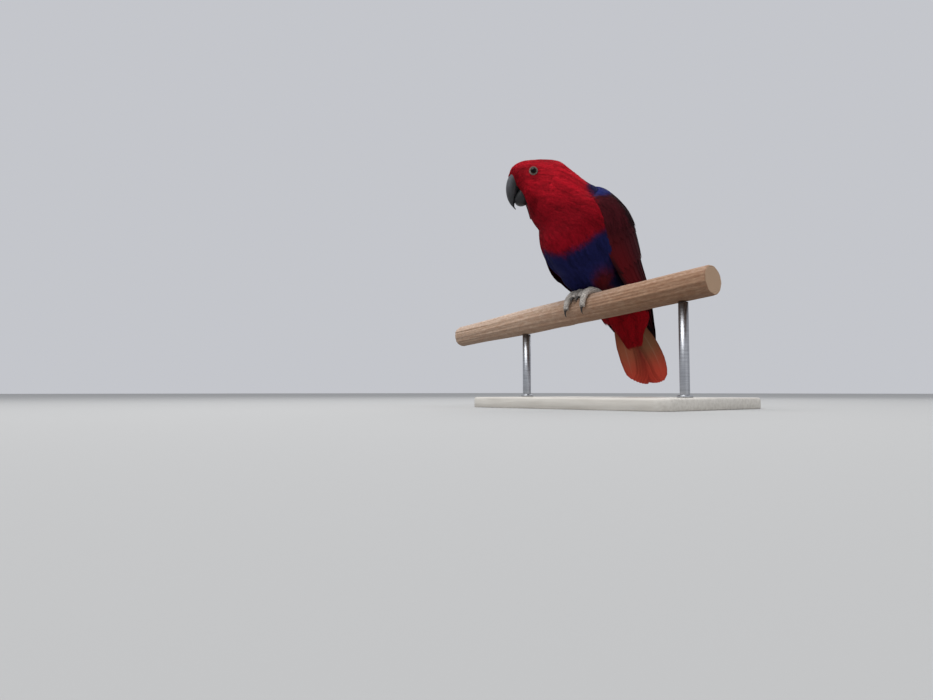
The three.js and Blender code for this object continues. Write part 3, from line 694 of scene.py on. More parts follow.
def markings(points, jitter):
    """Plumage colours at points of the body, with a jitter in millimetres at the edges."""
    x, y, h = points[..., 0], points[..., 1] + jitter, points[..., 2] + jitter
    aside = np.abs(x)
    hood = step(-4, 4, h - hood_edge(x) - 30 * step(-24, 20, y))
    nape = step(-3, 3, 28.6 - 1.8 * aside - y)
    nape = np.maximum(nape, step(-6, 2, head_places(points)[0]) * step(125, 135, h))
    back = np.maximum(step(-22, -8, y) * step(110, 122, h), step(5, 20, y))
    red = lerp(hood, nape, back)
    # Painted shade: darker blue low on the underside.
    colour = tint(NAVY, NAVY_SHADE, step(34, 14, h) * 0.8)
    colour = tint(colour, NAVY_BACK, step(0, 14, y) * step(106, 120, h))
    colour = tint(colour, MAROON, step(0, 14, y) * step(112, 98, h) * step(32, 24, aside))
    # Painted shade: darker blue low on the sides towards the back, under the wings.
    colour = tint(colour, NAVY_SHADE, step(12, 24, y) * step(70, 56, h) * step(24, 30, aside))
    colour = tint(colour, FLANK, flank_patch(x, y, h))
    colour = tint(colour, VENT_RED, step(8, -8, h) * step(20, 40, y))
    border = 1 - 1.5 * red * (1 - red)
    return tint(colour, hood_red_with_painted_light(points), red) * border[..., None]


def thigh_markings(points, jitter):
    return tint(NAVY, FLANK, flank_patch(points[..., 0], points[..., 1] + jitter, points[..., 2] + jitter))


def wing_markings(points, jitter):
    """Maroon, with blue at the shoulder, a dark band behind, and the hood's red at the front."""
    x, y, h = np.abs(points[..., 0]), points[..., 1] + jitter, points[..., 2] + jitter
    band = step(-2, 3, y - 10 - 0.5 * (116 - h))
    colour = tint(MAROON, WING_DARK, band * lerp(0.85, 0.25, step(40, 26, x)))
    colour = tint(colour, NAVY_BACK, step(122, 126, h - 0.35 * np.maximum(y + 6, 0)) * step(-20, -15, y))
    front = step(2, -2, y - np.interp(h, WING_RED_HEIGHTS, WING_RED_EDGE))
    return tint(colour, CRIMSON_DEEP, front * step(82, 88, h))


def covert_markings(points, _jitter):
    """Deep red below the tail, and maroon above it."""
    return tint(VENT_RED, MAROON, step(-2, 4, (points - TAIL_ROOT).dot(TAIL_BACK)))


# The coat of the body rises over the top and the front edge of each wing and over the
# thighs, so that the feathers run across them without a step
EDGE_REACH = 13.0
THIGH_REACH = 12.0
PAD_LIMIT = 14
PAD_ROWS = 150
PAD_COLUMNS = 160
PAD_SMOOTHING = 8


def from_grid(grid, x, y):
    """Values between the points of a grid, at places in cells. The second place wraps."""
    x = np.clip(x, 0, len(grid) - 1.001)
    i = np.floor(x).astype(int)
    j = np.floor(y).astype(int)
    fx = step(0, 1, x - i)
    fy = step(0, 1, y - j)
    j = j % grid.shape[1]
    k = (j + 1) % grid.shape[1]
    return lerp(lerp(grid[i, j], grid[i, k], fy), lerp(grid[i + 1, j], grid[i + 1, k], fy), fx)


def soft_noise(rng, a, b, rows, columns):
    """Smooth random values from -1 to 1 over two places from 0 to 1."""
    grid = rng.uniform(-1, 1, (max(round(rows), 1) + 2, max(round(columns), 1)))
    return from_grid(grid, a * (len(grid) - 2), b * grid.shape[1])

def body_padding():
    """How far the coat lies outside the body's own surface, on a grid of stations and angles."""
    station = np.linspace(-1, LAST_STATION, PAD_ROWS)[:, None]
    angle = circle(PAD_COLUMNS)[None]
    base = body_point(station, angle, 0)
    normal = unit(body_point(station, angle, 1) - base)
    padding = np.zeros(base.shape[:2])

    def offset(point):
        """Height of a point above the body, and how far to the side it lies."""
        gap = point - base
        height = (gap * normal).sum(-1)
        return height, np.sqrt(np.maximum((gap ** 2).sum(-1) - height ** 2, 0))

    for side in (1, -1):
        front_grow = 0.5 if side > 0 else -1.2
        rows = np.linspace(0.1, 4.9, 64)
        seam = [(s, q, front_grow, step(4.9, 3.0, s)) for s in rows for q in (0, 0.035, 0.065)]
        seam += [(0.1, q, -1.4, 1.0) for q in np.linspace(0.03, 0.97, 24)]
        for s, q, grow, weight in seam:
            height, aside = offset(wing_surface(side)(s, q, grow))
            near = weight * step(EDGE_REACH, 0, aside)
            padding = np.maximum(padding, np.clip(height, 0, PAD_LIMIT) * near)
        for t in np.linspace(0, 0.8, 12):
            across = thigh_surface(side)(t, np.array([0.0, math.pi]), 0)
            radius = np.linalg.norm(across[0] - across[1]) / 2 + 0.5
            height, aside = offset(across.mean(0))
            dome = height + np.sqrt(np.maximum(radius ** 2 - aside ** 2, 0))
            near = step(radius + THIGH_REACH, radius - 5, aside)
            padding = np.maximum(padding, np.clip(dome, 0, PAD_LIMIT) * near)
    for _ in range(PAD_SMOOTHING):
        padding[1:-1] = (padding[:-2] + 2 * padding[1:-1] + padding[2:]) / 4
        padding = (np.roll(padding, 1, 1) + 2 * padding + np.roll(padding, -1, 1)) / 4
    return padding


def padded_body():
    padding = body_padding()

    def surface(station, angle, grow):
        row = (station + 1) / (LAST_STATION + 1) * (PAD_ROWS - 1)
        column = angle / (2 * math.pi) * PAD_COLUMNS
        return body_point(station, angle, grow + from_grid(padding, row, column))
    return surface


# Coat: small feathers as fringed cards that follow a surface
CARD_ROWS = 4
CARD_FRINGE = 0.35
LOCK_TONE = 0.46
LOCK_LIMIT = 0.35
PATCH = 0.003


def card_shape(strands):
    """Across and along places of one card: a vane that splits into pointed strands."""
    u = np.linspace(0, 1, CARD_ROWS)
    outline = np.interp(u, [0, 0.25, 0.6, 1], [0.45, 0.95, 1.0, 0.62])
    narrow = 1 - step(CARD_FRINGE, 1.0, u) * 0.93
    across = []
    along = []
    quads = []
    for strand in range(strands):
        middle = (strand + 0.5) / strands * 2 - 1
        reach = 1 - 0.16 * abs(middle) ** 2 - 0.05 * (strand % 2)
        edges = np.array([-1, 1]) / strands
        across.append((middle + edges * narrow[:, None]) * outline[:, None])
        along.append(np.stack([u * reach, u * reach], -1))
        quads.append(grid_quads(CARD_ROWS, 2) + strand * CARD_ROWS * 2)
    return np.ravel(across), np.ravel(along), np.concatenate(quads)


def coat(name, surface, a, b, rows, around, length, width, depth, strands, paint, slot,
         material, lift=0.35, streaks=(16, 1.4)):
    """A coat of cards. a and b are the ranges of the surface's two places, rows and around the
    counts along them, and length, width and depth run from the first row to the last. The
    streaks give how many rows and columns of cards share one lighter or darker lock."""
    rng = np.random.default_rng(SEED + sum(map(ord, name)))
    row, column = (v.reshape(-1, 1) for v in np.meshgrid(np.arange(rows), np.arange(around), indexing="ij"))
    each = row.shape
    part = np.clip((row + rng.uniform(-0.45, 0.45, each)) / (rows - 1), 0, 1)
    turn = np.clip((column + 0.5 * (row % 2) + rng.uniform(-0.35, 0.35, each)) / around, 0, 1)
    fine = soft_noise(rng, part, turn, rows / streaks[0], around / streaks[1])
    broad = soft_noise(rng, part, turn, rows / streaks[0] * 1.5, around / streaks[1] / 3)
    lock = np.minimum(0.9 * fine + 0.25 * broad, LOCK_LIMIT)
    root_a = lerp(*a, part)
    root_b = lerp(*b, turn)
    length = lerp(*length, part) * rng.uniform(0.8, 1.2, each)
    width = lerp(*width, part) * rng.uniform(0.85, 1.15, each)
    root = surface(root_a, root_b, 0.0)

    def pace(more_a, more_b):
        """Millimetres for each unit of one of the surface's places."""
        moved = surface(root_a + more_a, root_b + more_b, 0.0)
        return np.linalg.norm(moved - root, axis=-1) / (more_a + more_b)

    span_a, span_b = np.ptp(a), np.ptp(b)
    reach = pace(span_a / 200, 0)
    reach = length / np.maximum(reach, 0.25 * np.median(reach))
    girth = pace(0, span_b / 200)
    girth = np.maximum(girth, 0.15 * np.median(girth))
    drift = rng.normal(0, 0.08, each) * length / girth
    v, u, quads = card_shape(strands)
    roll = rng.normal(0, 0.14, each) * width * v
    curl = lift * (rng.uniform(-0.8, 0.8, each) + 0.9 * lock) * u ** 2
    rise = lerp(-lerp(*depth, part), -0.15, np.minimum(u / 0.75, 1) ** 0.8)
    grow = rise + roll + curl - 0.12 * width * v ** 2
    points = surface(root_a + reach * u, root_b + drift * u + v * (width / girth), grow)
    thing = mesh_object(name, points, quads + (np.arange(row.size) * v.size)[:, None, None])
    tone = 1 + LOCK_TONE * lock + rng.normal(0, 0.05, each)
    strand_tone = np.repeat(rng.normal(1, 0.1, (row.size, strands)), 2 * CARD_ROWS, axis=1)
    # Painted shade: each card is darker towards its root, where the next cards cover it.
    tone = np.clip(tone * strand_tone, 0.35, 1.6) * lerp(0.5, 1.08, u ** 0.7)
    add_colour(thing, paint(points, rng.normal(0, 1.4, each)) * tone[..., None])
    home_a = (root_a - min(a)) / span_a * 0.99
    home_b = (root_b - min(b)) / span_b * 0.99
    add_uv(thing, "OFBake", home_b + (v / 2 + 0.5) * PATCH, home_a + u * PATCH)
    add_uv(thing, "Vane", v + rng.uniform(0, 40, each), u * 3)
    finish_piece(thing, material, slot)


# Vanes: flight feathers, tail feathers and large coverts, each with a raised shaft
VANE_ROWS = 14
VANE_COLUMNS = np.array([-1.0, -0.72, -0.4, -0.1, 0.0, 0.1, 0.4, 0.72, 1.0])
ROUND_TIP = ([0, 0.12, 0.4, 0.75, 0.88, 0.95, 1], [0.35, 0.8, 1, 1, 0.86, 0.6, 0.12])
LONG_TIP = ([0, 0.15, 0.5, 0.7, 0.85, 0.95, 1], [0.4, 0.8, 1, 0.92, 0.72, 0.4, 0.08])
SQUARE_TIP = ([0, 0.2, 0.45, 0.7, 0.85, 0.94, 0.98, 1], [0.45, 0.8, 1, 0.95, 0.8, 0.62, 0.42, 0.2])

def vane_grid(centre, normal, width, tilt, outline, camber, shaft=0.35):
    """Points of one vane, rows by columns, from its centre line and outward normals."""
    u = np.linspace(0, 1, len(centre))[:, None]
    ahead = unit(np.gradient(centre, axis=0))
    side = unit(np.cross(ahead, normal))
    up = np.cross(side, ahead)
    half = width / 2 * np.interp(u, *outline)
    across = half * VANE_COLUMNS
    ridge = shaft * np.exp(-(VANE_COLUMNS / 0.08) ** 2) * (1 - 0.7 * u)
    bow = across * math.sin(math.radians(tilt)) - camber * VANE_COLUMNS ** 2 * half / 8 + ridge
    return centre[:, None] + side[:, None] * across[..., None] + up[:, None] * bow[..., None]


def vane_colours(base, edge, shaft, rng):
    """Colours over one vane: painted shade towards its root, with the colours of its edge and shaft."""
    u = np.linspace(0, 1, VANE_ROWS)[:, None]
    v = np.abs(VANE_COLUMNS)
    colour = tint(base, edge, step(0.62, 1.0, v) * 0.5)
    colour = tint(colour, shaft, np.exp(-(v / 0.07) ** 2) * 0.15)
    shade = lerp(0.7, 1.0, step(0.1, 0.6, u)) * np.clip(rng.normal(1, 0.07), 0.8, 1.2)
    return colour * shade[..., None]


def vane_object(name, vanes, material, slot, node):
    """One mesh of many vanes, each a grid of points and its colours, with its own cell of the
    OFBake map."""
    grids, colours = (np.array(values) for values in zip(*vanes))
    count, rows, columns = grids.shape[:3]
    index = np.arange(count)[:, None, None]
    thing = mesh_object(name, grids, grid_quads(rows, columns) + index * rows * columns)
    add_colour(thing, colours)
    cells = math.ceil(math.sqrt(count))
    u = np.linspace(0.04, 0.96, rows)[:, None]
    v = VANE_COLUMNS * 0.46 + 0.5
    add_uv(thing, "OFBake", (index % cells + v) / cells, (index // cells + u) / cells)
    off = np.abs(v - 0.5)
    add_uv(thing, "Vane", off * 2 + index * 3, u * 6 + off * 1.6)
    finish_piece(thing, material, slot, node)


# The wing's tiers, each from its first feather at the front edge to its last at the back
Tier = namedtuple("Tier", "count width drop stack tilt root tip outline")
WING_TIERS = (
    Tier(9, 12.5, 9.0, 0.72, 0, ((3.64, 0.1), (3.64, 0.72)), ((6.04, 0.03), (7.0, 0.95)), LONG_TIP),
    Tier(12, 13.0, 4.4, 0, 1.5, ((3.1, 0.07), (2.8, 0.95)), ((5.26, 0.06), (4.78, 0.97)), LONG_TIP),
    Tier(12, 12.0, 2.5, 0, 1.5, ((2.44, 0.07), (2.08, 0.94)), ((4.12, 0.05), (3.64, 0.97)), ROUND_TIP),
    Tier(12, 11.5, 1.4, 0, 1.5, ((1.84, 0.07), (1.6, 0.94)), ((3.22, 0.06), (2.86, 0.97)), ROUND_TIP),
)
ROOT_SINK = 2.4


def wing_vane_base(s, q):
    """Maroon, wine red low down in front, and dark at both edges and towards the tip."""
    base = tint(0.72 * MAROON, 0.8 * WINE, step(0.36, 0.12, q) * step(2.4, 4.0, s))
    band = step(0.45, 0.54, q) * lerp(0.8, 0.25, step(0.58, 0.75, q))
    front = step(0.05, 0.02, q) * step(3.2, 3.8, s) * 0.85
    return tint(base, WING_DARK, np.maximum(np.maximum(band, front), step(4.6, 6.2, s) * 0.9))


def wing_vanes(side, material):
    surface = wing_surface(side)
    rng = np.random.default_rng(SEED + 7 + side)
    u = np.linspace(0, 1, VANE_ROWS)
    vanes = []
    for tier in WING_TIERS:
        for k in range(tier.count):
            f = k / (tier.count - 1)
            root, tip = (lerp(*np.array(ends), f) for ends in (tier.root, tier.tip))
            s = lerp(root[0], tip[0] + rng.uniform(-0.04, 0.04), u)
            q = lerp(root[1], tip[1], step(0, 1, u))
            taper = 1 - 0.75 * step(4.4, WING_TIP, s)
            drop = (tier.drop - k * tier.stack) * taper + ROOT_SINK * (1 - step(0, 0.35, u))
            skin_line = surface(s, q, 0.0)
            normal = unit(surface(s, q, 1.0) - skin_line)
            width = tier.width * rng.uniform(0.94, 1.06)
            grid = vane_grid(surface(s, q, -drop), normal, width, tier.tilt * side, tier.outline, 0.4)
            girth = np.linalg.norm(surface(s, q + 0.01, 0.0) - skin_line, axis=-1)[:, None] / 0.01
            reach = q[:, None] - VANE_COLUMNS * tier.width / 2 / girth
            base = wing_vane_base(s[:, None], reach)
            grid = grid if side > 0 else grid[:, ::-1]
            vanes.append((grid, vane_colours(base, base * 1.12, WING_DARK, rng)))
    label = side_name(side)
    vane_object(f"wing_feathers_{label}", vanes, material, "plumage_wing", f"wing_{label}")


def tail_colours(f, side, face, t):
    """Base, edge and shaft of one tail feather, wine red above and tan or rose below, with its
    tip red."""
    t = t[:, None]
    if face > 0:
        base = tint(WINE, TAIL_TIP_RED, step(0.62, 0.97, t) * 0.85)
        return base, base * 0.7, WING_DARK
    ground = lerp(TAIL_ROSE, TAIL_TAN if side < 0 else TAIL_OLIVE, step(0.3, 0.9, f))
    base = tint(ground, TAIL_TIP_RED, step(0.5, 0.95, t) * 0.9)
    return base, lerp(base, WINE, 0.5), tint(TAIL_SHAFT, base, step(0.6, 1.0, t))


def tail_vanes(material):
    """Twelve tail feathers, each with a back face and a paler under face."""
    rng = np.random.default_rng(SEED + 3)
    u = np.linspace(0, 1, VANE_ROWS)
    spread = np.sin(math.pi / 2 * u)
    vanes = []
    for k in range(6):
        for side in (1, -1):
            f = k / 5
            level = 2.6 - k * 0.95 - (0.45 if side < 0 else 0)
            t = lerp(0.08, 1.02 + 0.062 * side * f - 0.062 * f * f, u)
            across = lerp(side * lerp(2, 8, f), side * lerp(3, 18.2 + 0.8 * side, f) - 1, spread)
            centre = tail_point(t, across, lerp(level * 0.8, level, spread))
            normal = np.broadcast_to(TAIL_BACK, centre.shape)
            for face in (1, -1):
                middle = centre + 0.12 * face * TAIL_BACK
                grid = vane_grid(middle, normal, 20, 0, SQUARE_TIP, 0.6, 0.38 * face)
                vanes.append((grid, vane_colours(*tail_colours(f, side, face, t), rng)))
    vane_object("tail_feathers", vanes, material, "plumage_tail", "tail")


# The skin: one remeshed surface under the whole coat
SKIN_VOXEL = 0.0018
SKIN_END = 15.4
SKIN_SHADE = 0.45


def skin(material):
    station = np.linspace(0, SKIN_END, 90)[:, None]
    angle = circle(96)[None]
    depth = -np.interp(station, [0, 2, 6, 9, 16], [1.4, 1.9, 2.3, 2.8, 2.8])
    pieces = [body_point(station, angle, depth)]
    for side in (1, -1):
        pieces.append(thigh_surface(side)(np.linspace(0, 1, 20)[:, None], angle, -1.8))
        pieces.append(wing_arm(side, 1.6))
    pieces.append(tail_shell(np.linspace(-0.2, 0.4, 29)[:, None], angle, -2.0))
    body = joined("skin", [tube_object("skin_piece", rings) for rings in pieces])
    remesh = body.modifiers.new("remesh", "REMESH")
    remesh.mode = "VOXEL"
    remesh.voxel_size = SKIN_VOXEL
    soften = body.modifiers.new("soften", "SMOOTH")
    soften.iterations = 4
    bpy.ops.object.modifier_apply(modifier="remesh")
    bpy.ops.object.modifier_apply(modifier="soften")
    body.data.shade_smooth()
    points = np.empty(len(body.data.vertices) * 3, np.float32)
    body.data.vertices.foreach_get("co", points)
    points = points.reshape(-1, 3) * 1000 - ORIGIN
    add_colour(body, markings(points, 0) * SKIN_SHADE)
    finish_piece(body, material, "plumage_red", "head", "neck", "torso", "thigh_left", "thigh_right")


# Bill: rings across each mandible, from its outer edge to its inner edge, as in the part.
# Columns are outer ahead and height, inner ahead and height, half width.
UPPER_BILL = [
    [66, 163, 55, 146, 11.5],
    [71, 157.5, 58, 143.5, 11],
    [74.6, 150, 60.5, 139, 9.8],
    [76, 141, 62.5, 134, 8.2],
    [75, 132, 64.5, 129, 6.2],
    [72, 124.5, 66, 123.5, 3.9],
    [68, 119.3, 66, 119.6, 2],
    [65, 116.2, 64.4, 117, 0.7],
]
LOWER_BILL = [
    [48, 127, 57, 143, 10.5],
    [52, 122.5, 61.5, 139.5, 9.8],
    [57, 120.3, 65.5, 133, 8.4],
    [61.5, 120.8, 67, 127.5, 6],
    [64.5, 123, 66, 125.4, 3],
]
NOSTRIL = (70.0, 5.6, 160.0)
NOSTRIL_RADIUS = 1.5
NOSTRIL_DEPTH = 1.7


def mandible(name, table, material, node):
    t = np.linspace(0, 1, 72)
    rows = smooth(table, t)
    angle = circle(48)
    outer, inner = rows[:, None, 0:2], rows[:, None, 2:4]
    flat = (outer + inner) / 2 + (outer - inner) / 2 * np.cos(angle)[:, None]
    growth = 1 + 0.004 * np.sin(t * 95) * (t < 0.75)
    points = head_point(flat[..., 0], (rows[:, 4] * growth)[:, None] * np.sin(angle), flat[..., 1])
    if node == "bill_upper":
        for hole in (1, -1):
            middle = head_point(NOSTRIL[0], hole * NOSTRIL[1], NOSTRIL[2])
            near = np.exp(-(np.linalg.norm(points - middle, axis=-1) / NOSTRIL_RADIUS) ** 2)
            points = points + NOSTRIL_DEPTH * near[..., None] * unit(head_point(62, 0, 152) - middle)
    thing = tube_object(name, points)
    add_uv(thing, "Along", np.abs(angle - math.pi) / math.pi, np.linspace(0, 1, len(t) + CAP_RINGS)[:, None])
    finish_piece(thing, material, "bill", node)


# Eyes and lids
EYE_RADIUS = 4.5
LID_THICKNESS = 0.9


def eye(side, ball_material, lid_material):
    label = side_name(side)
    centre = head_point(EYE[0], side * EYE[1], EYE[2])
    out = unit(head_point(0, side, 0) - head_point(0, 0, 0))
    ahead = unit(head_point(1, 0, 0) - head_point(0, 0, 0))

    def spoke(angle):
        return np.cos(angle)[..., None] * ahead + np.sin(angle)[..., None] * UP

    polar = np.linspace(0.02, math.pi - 0.02, 40)[:, None]
    around = circle(48)[None]
    points = centre + EYE_RADIUS * (np.cos(polar)[..., None] * out + np.sin(polar)[..., None] * spoke(around))
    ball = mesh_object(f"eye_{label}_ball", points, grid_quads(40, 48, closed=True))
    add_uv(ball, "Iris", np.where(polar < math.pi / 2, np.sin(polar), 1.0), around / (2 * math.pi))
    finish_piece(ball, ball_material, "eye", f"eye_{label}")
    turn = np.linspace(0, 2 * math.pi, 73)[:, None]
    tube = circle(18)[None]
    crease = LID_THICKNESS * (1 + 0.08 * np.sin(turn * 22) * np.cos(tube))
    points = (centre + 0.52 * EYE_RADIUS * out + (EYE_RADIUS - 0.45) * spoke(turn)
              + (crease * np.cos(tube))[..., None] * spoke(turn)
              + (0.9 * crease * np.sin(tube))[..., None] * out)
    lid = mesh_object(f"eyelid_{label}_ring", points, grid_quads(73, 18, closed=True))
    finish_piece(lid, lid_material, "eyelid", f"eyelid_{label}")


# Feet: two toes in front and two behind, with scutes, and a short tarsus. Splays are in
# millimetres, and sweeps in degrees round the perch.
Toe = namedtuple("Toe", "name start splay sweep radius way")
TOES = (
    Toe("front_outer", 1, 0.4, 93, 3.8, -1),
    Toe("front_inner", -1, -1.4, 53, 3.5, -1),
    Toe("back_outer", 1, 5.0, 70, 3.8, 1),
    Toe("back_inner", -1, -1.5, 50, 3.5, 1),
)
TOE_GAP = 3.0
CLAW_SWEEP = 26


def toe_point(toe, side, angle, lift):
    """Points round the perch, at angles in degrees from its top."""
    centre = foot_place(side)
    reach = perch_radius(centre[0]) + lift
    x = side * (toe.start * TOE_GAP + toe.splay * np.abs(angle) / toe.sweep)
    turn = np.radians(angle)
    h = x * math.tan(PERCH_TILT) + reach * np.cos(turn)
    return centre + np.stack([x, toe.way * reach * np.sin(turn), h], -1)


def tube_rings(path, radius, sides, flatten=1.0):
    ahead = unit(np.gradient(path, axis=0))
    across = unit(np.cross(ahead, UP))
    top = np.cross(across, ahead)
    angle = circle(sides)[:, None]
    ring = np.cos(angle) * across[:, None] + flatten * np.sin(angle) * top[:, None]
    return path[:, None] + radius[:, None, None] * ring


def foot(side, skin_of_foot, horn):
    label = side_name(side)
    t = np.linspace(0, 1, 46)
    scutes = 1 + 0.045 * np.abs(np.sin(t * math.pi * 9)) + 0.07 * np.sin(t * math.pi * 2.5) ** 2
    c = np.linspace(0, 1, 24)
    things = []
    for toe in TOES:
        path = toe_point(toe, side, toe.sweep * t, toe.radius * 0.82)
        rings = tube_rings(path, toe.radius * lerp(1.1, 0.76, t) * scutes, 20, 0.92)
        things.append(tube_object(f"toe_{label}_{toe.name}", rings))
        lift = toe.radius * 0.95 + 1.6 * np.sin(math.pi * c * 0.8)
        path = toe_point(toe, side, toe.sweep - 3 + CLAW_SWEEP * c, lift)
        claw = tube_object(f"claw_{label}_{toe.name}_horn", tube_rings(path, lerp(2.0, 0.3, c ** 0.9), 16))
        add_uv(claw, "Along", np.linspace(0, 1, 16), np.linspace(0, 1, len(c) + CAP_RINGS)[:, None])
        finish_piece(claw, horn, "claw", f"claw_{label}_{toe.name}")
    up = np.linspace(0, 1, 16)
    bottom = foot_place(side) + [0, 0, PERCH_RADIUS + 2]
    ankle = foot_place(side) + [0, 9, FEET_HEIGHT]
    rings = tube_rings(lerp(bottom, ankle, up[:, None]), 5.2 - 0.5 * up, 20)
    things.append(tube_object(f"tarsus_{label}", rings))
    finish_piece(joined(f"foot_{label}_skin", things), skin_of_foot, "foot_skin", f"foot_{label}")


# Perch: a debarked branch with long ridges, a few knots and sawn ends. A ridge has its
# turns and height, and a knot its place, angle, height and length.
PERCH_SIDES = 144
RIDGES = ((2, 0.12), (3, 0.12), (5, 0.1), (9, 0.09), (13, 0.08), (17, 0.07), (23, 0.06), (29, 0.05))
KNOTS = ((-118, 1.9, 2.2, 9), (-20, 4.6, 1.6, 7), (70, 0.9, 1.8, 8), (128, 3.2, 2.0, 9))


def perch(bark, end_grain):
    rng = np.random.default_rng(SEED + 11)
    x = np.linspace(PERCH_LEFT, PERCH_RIGHT, 260)[:, None]
    angle = circle(PERCH_SIDES)[None]
    radius = perch_radius(x) + 1.2
    for turns, height in RIDGES:
        for _ in range(3):
            phase = rng.uniform(0, 6.28) + rng.uniform(-0.02, 0.02) * x
            phase = phase + 0.6 * np.sin(x * rng.uniform(0.01, 0.04))
            radius = radius - height * (1 + np.sin(turns * angle + phase))
    for spot, turn, height, size in KNOTS:
        gap = np.angle(np.exp(1j * (angle - turn))) * PERCH_RADIUS
        radius = radius + height * 0.5 * np.exp(-(((x - spot) / size) ** 2 + (gap / 5) ** 2))
        radius = radius - height * 0.4 * np.exp(-(((x - spot) / 3) ** 2 + (gap / 2.4) ** 2))
    radius = np.minimum(radius, perch_radius(x) + 0.35)
    radius = radius - 0.9 * step(1.6, 0, np.minimum(x - PERCH_LEFT, PERCH_RIGHT - x))
    ahead = np.array([math.cos(PERCH_TILT), 0, math.sin(PERCH_TILT)])
    across = np.array([0, -1.0, 0])
    ring = np.cos(angle)[..., None] * across + np.sin(angle)[..., None] * np.cross(across, ahead)
    thing = tube_object("perch_branch", perch_point(x) + radius[..., None] * ring)
    along = np.linspace(0, 14, len(x) + CAP_RINGS)[:, None]
    add_uv(thing, "Along", 1.5 * (1 - np.abs(angle - math.pi) / math.pi), along)
    finish_piece(thing, bark, "perch_wood", "perch")
    thing.data.materials.append(end_grain)
    ends = np.zeros(len(thing.data.polygons), bool)
    ends[:2 * PERCH_SIDES] = ends[-2 * PERCH_SIDES:] = True
    thing.data.polygons.foreach_set("material_index", ends.astype(np.int32))
    thing.data.polygons.foreach_set("use_smooth", ~ends)


# Stand: a board with a rounded edge, and two rods with a collar at the foot. The edge is
# given by insets and heights from the top, and the collar by widths and heights.
BOARD_EDGE = ((0.8, -12.0), (0.0, -11.2), (0.0, -2.0), (0.6, -0.6), (2.0, 0.0))
COLLAR = ((3, 0), (3, 1.6), (2.4, 2.2), (0, 2.4), (0, 3))


def stand(board, steel):
    length, depth, thick = BASE_SIZE
    quarters = []
    for quarter, (sx, sy) in enumerate(((1, 1), (-1, 1), (-1, -1), (1, -1))):
        angle = np.linspace(0, math.pi / 2, 13) + quarter * math.pi / 2
        middle = np.array([sx * (length / 2 - BASE_CORNER), sy * (depth / 2 - BASE_CORNER)])
        quarters.append(middle + BASE_CORNER * np.stack([np.cos(angle), np.sin(angle)], -1))
    outline = np.concatenate(quarters)
    rings = []
    for inset, height in BOARD_EDGE:
        ring = outline * (1 - 2 * inset / np.array([length, depth]))
        rings.append(np.column_stack([ring, np.full(len(ring), thick + height)]) - ORIGIN)
    finish_piece(tube_object("stand_base_board", rings), board, "stand_base", "stand_base")
    angle = circle(48)
    bottom = thick - PERCH_HEIGHT + 0.3
    for index, x in enumerate(ROD_PLACES):
        top = perch_point(x / math.cos(PERCH_TILT))[2] - perch_radius(x) + 0.2
        radius, height = np.array([*COLLAR, (0, top - bottom)]).T[..., None]
        radius = radius + ROD_RADIUS
        rings = np.broadcast_arrays(x + radius * np.cos(angle), radius * np.sin(angle), bottom + height)
        rod = tube_object(f"stand_rod_{index + 1}_satin", np.stack(rings, -1))
        finish_piece(rod, steel, "stand_steel", f"stand_rod_{index + 1}")


# Stage
FLOOR_SIZE = 14
LIGHT_AIM = Vector((-0.02, -0.02, 0.2))
LIGHTS = (
    ("key", 14, 1.0, (-0.1, -0.55, 1.45)),
    ("fill", 1.5, 1.4, (1.4, -0.2, 0.6)),
    ("back", 4, 0.8, (-0.5, 0.9, 1.1)),
)


def make_camera():
    data = bpy.data.cameras.new("camera")
    camera = new_object("camera", data)
    camera.location = [value / 1000 for value in CAMERA_PLACE]
    camera.rotation_euler = (math.radians(90 + CAMERA_PITCH), 0, math.radians(CAMERA_AZIMUTH))
    data.lens = CAMERA_LENS
    data.sensor_width = 36
    data.clip_start = 0.01
    bpy.context.scene.camera = camera


def make_stage():
    bpy.ops.mesh.primitive_plane_add(size=FLOOR_SIZE, location=(0, 0, 0))
    floor = bpy.context.object
    floor.name = "stage_floor"
    floor.data.materials.append(Nodes("stage_floor").finish((0.5, 0.5, 0.49), 0.9))


def make_lights():
    world = bpy.data.worlds.new("studio")
    world.use_nodes = True
    background = world.node_tree.nodes["Background"]
    background.inputs["Color"].default_value = (0.92, 0.94, 1.0, 1)
    background.inputs["Strength"].default_value = 0.6
    bpy.context.scene.world = world
    for name, power, size, where in LIGHTS:
        light = bpy.data.lights.new(name, "AREA")
        light.energy = power
        light.size = size
        lamp = new_object(name, light)
        lamp.location = where
        lamp.rotation_euler = (LIGHT_AIM - Vector(where)).to_track_quat("-Z", "Y").to_euler()


# The body's coats: ranges of stations, rows and cards around, and then the sizes, strands,
# hue of the slot, lift and streaks that coat() takes
TURN = (0, 2 * math.pi)
BODY_COATS = (
    ("face", (-0.3, 1.2), 18, 100, (2.6, 3.8), (0.7, 0.9), (0.8, 1.3), 3, "red", 0.25, (8, 2)),
    ("head", (1.0, 4.8), 62, 148, (4.4, 8.5), (0.9, 1.4), (1.3, 1.8), 3, "red", 0.3, (16, 1.4)),
    ("neck", (4.5, 7.8), 48, 156, (9.0, 13.0), (1.4, 1.9), (1.8, 2.4), 4, "red", 0.4, (16, 1.4)),
    ("chest", (7.4, 10.6), 44, 152, (12.5, 13.5), (1.9, 2.3), (2.4, 2.8), 4, "red", 0.4, (16, 1.4)),
    ("belly", (10.2, 14.9), 50, 148, (12.5, 12.0), (2.4, 2.3), (2.8, 2.4), 4, "blue", 0.35, (16, 1.4)),
)


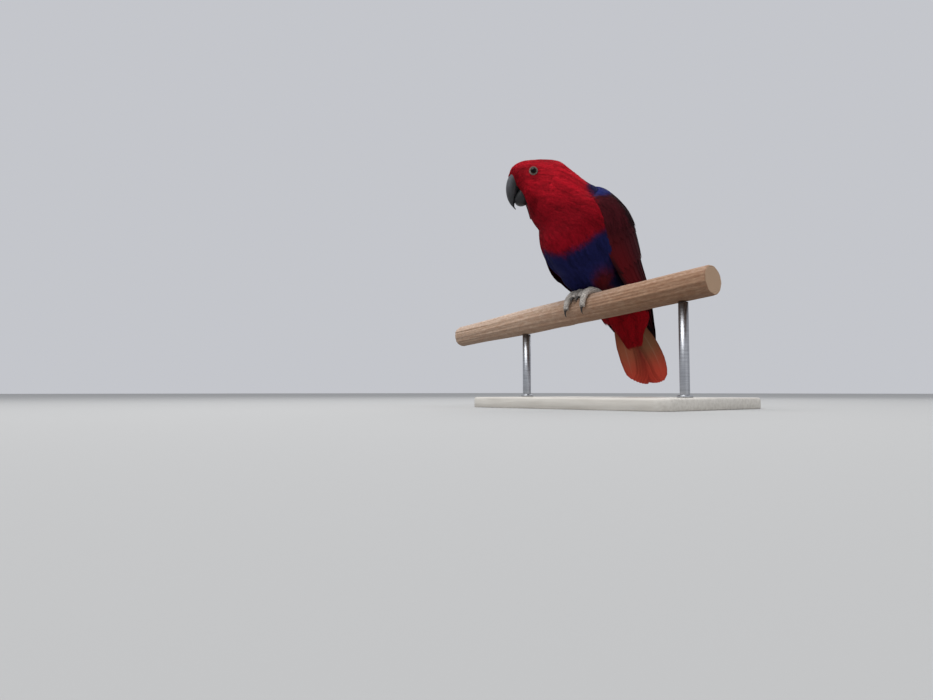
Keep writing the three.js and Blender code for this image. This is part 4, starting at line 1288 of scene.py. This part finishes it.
def plumage():
    """The skin, the coats over it, and the vanes of wings and tail."""
    soft = feather_material("feathers_soft", 0.72, 3.0)
    firm = feather_material("feathers_firm", 0.7, 6.0)
    skin(skin_material())
    body = padded_body()
    for name, stations, rows, around, length, width, depth, strands, hue, lift, streaks in BODY_COATS:
        coat(f"coat_{name}", body, stations, TURN, rows, around, length, width, depth, strands, markings,
             f"plumage_{hue}", soft, lift, streaks)
    for side in (1, -1):
        label = side_name(side)
        coat(f"coat_thigh_{label}", thigh_surface(side), (0.0, 0.85), TURN, 22, 76, (11.0, 7.0), (2.0, 1.6),
             (1.8, 1.4), 4, thigh_markings, "plumage_red", soft)
        wing_vanes(side, firm)
        coat(f"coat_shoulder_{label}", sunk_wing(side), (0.0, 2.4), (0.02, 0.98), 42, 56, (8.5, 12.0),
             (2.0, 3.2), (1.8, 0.9), 4, wing_markings, "plumage_wing", soft, lift=0.2)
    coat("coat_tail_root", tail_shell, (-0.16, 0.4), TURN, 28, 72, (14.0, 11.0), (2.4, 2.8), (1.6, 1.0), 4,
         covert_markings, "plumage_red", soft)
    tail_vanes(firm)


def bill_eyes_and_feet():
    # Painted light and shade on one horn: the upper mandible lighter, the lower one much darker.
    mandible("bill_upper_horn", UPPER_BILL, bill_material("bill_horn", 1.15), "bill_upper")
    mandible("bill_lower_horn", LOWER_BILL, bill_material("bill_horn_shaded", 0.3), "bill_lower")
    eye_look = eye_material()
    lid_look = scaly_material("eyelid_skin", srgb(92, 86, 78), srgb(142, 132, 120), 900.0)
    foot_look = scaly_material("foot_scales", srgb(158, 150, 142), srgb(216, 208, 198), 420.0)
    claw_look = claw_material()
    for side in (1, -1):
        eye(side, eye_look, lid_look)
        foot(side, foot_look, claw_look)


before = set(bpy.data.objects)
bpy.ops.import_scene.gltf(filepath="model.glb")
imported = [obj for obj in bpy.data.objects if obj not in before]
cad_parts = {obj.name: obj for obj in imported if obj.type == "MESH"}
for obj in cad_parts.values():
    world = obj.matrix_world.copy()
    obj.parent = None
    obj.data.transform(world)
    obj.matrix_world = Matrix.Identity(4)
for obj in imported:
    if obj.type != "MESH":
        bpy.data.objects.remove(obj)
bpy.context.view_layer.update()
bpy.context.scene.view_settings.view_transform = "Standard"
make_camera()
make_stage()
make_lights()
plumage()
bill_eyes_and_feet()
perch(bark_material(), end_grain_material())
stand(board_material(), steel_material())
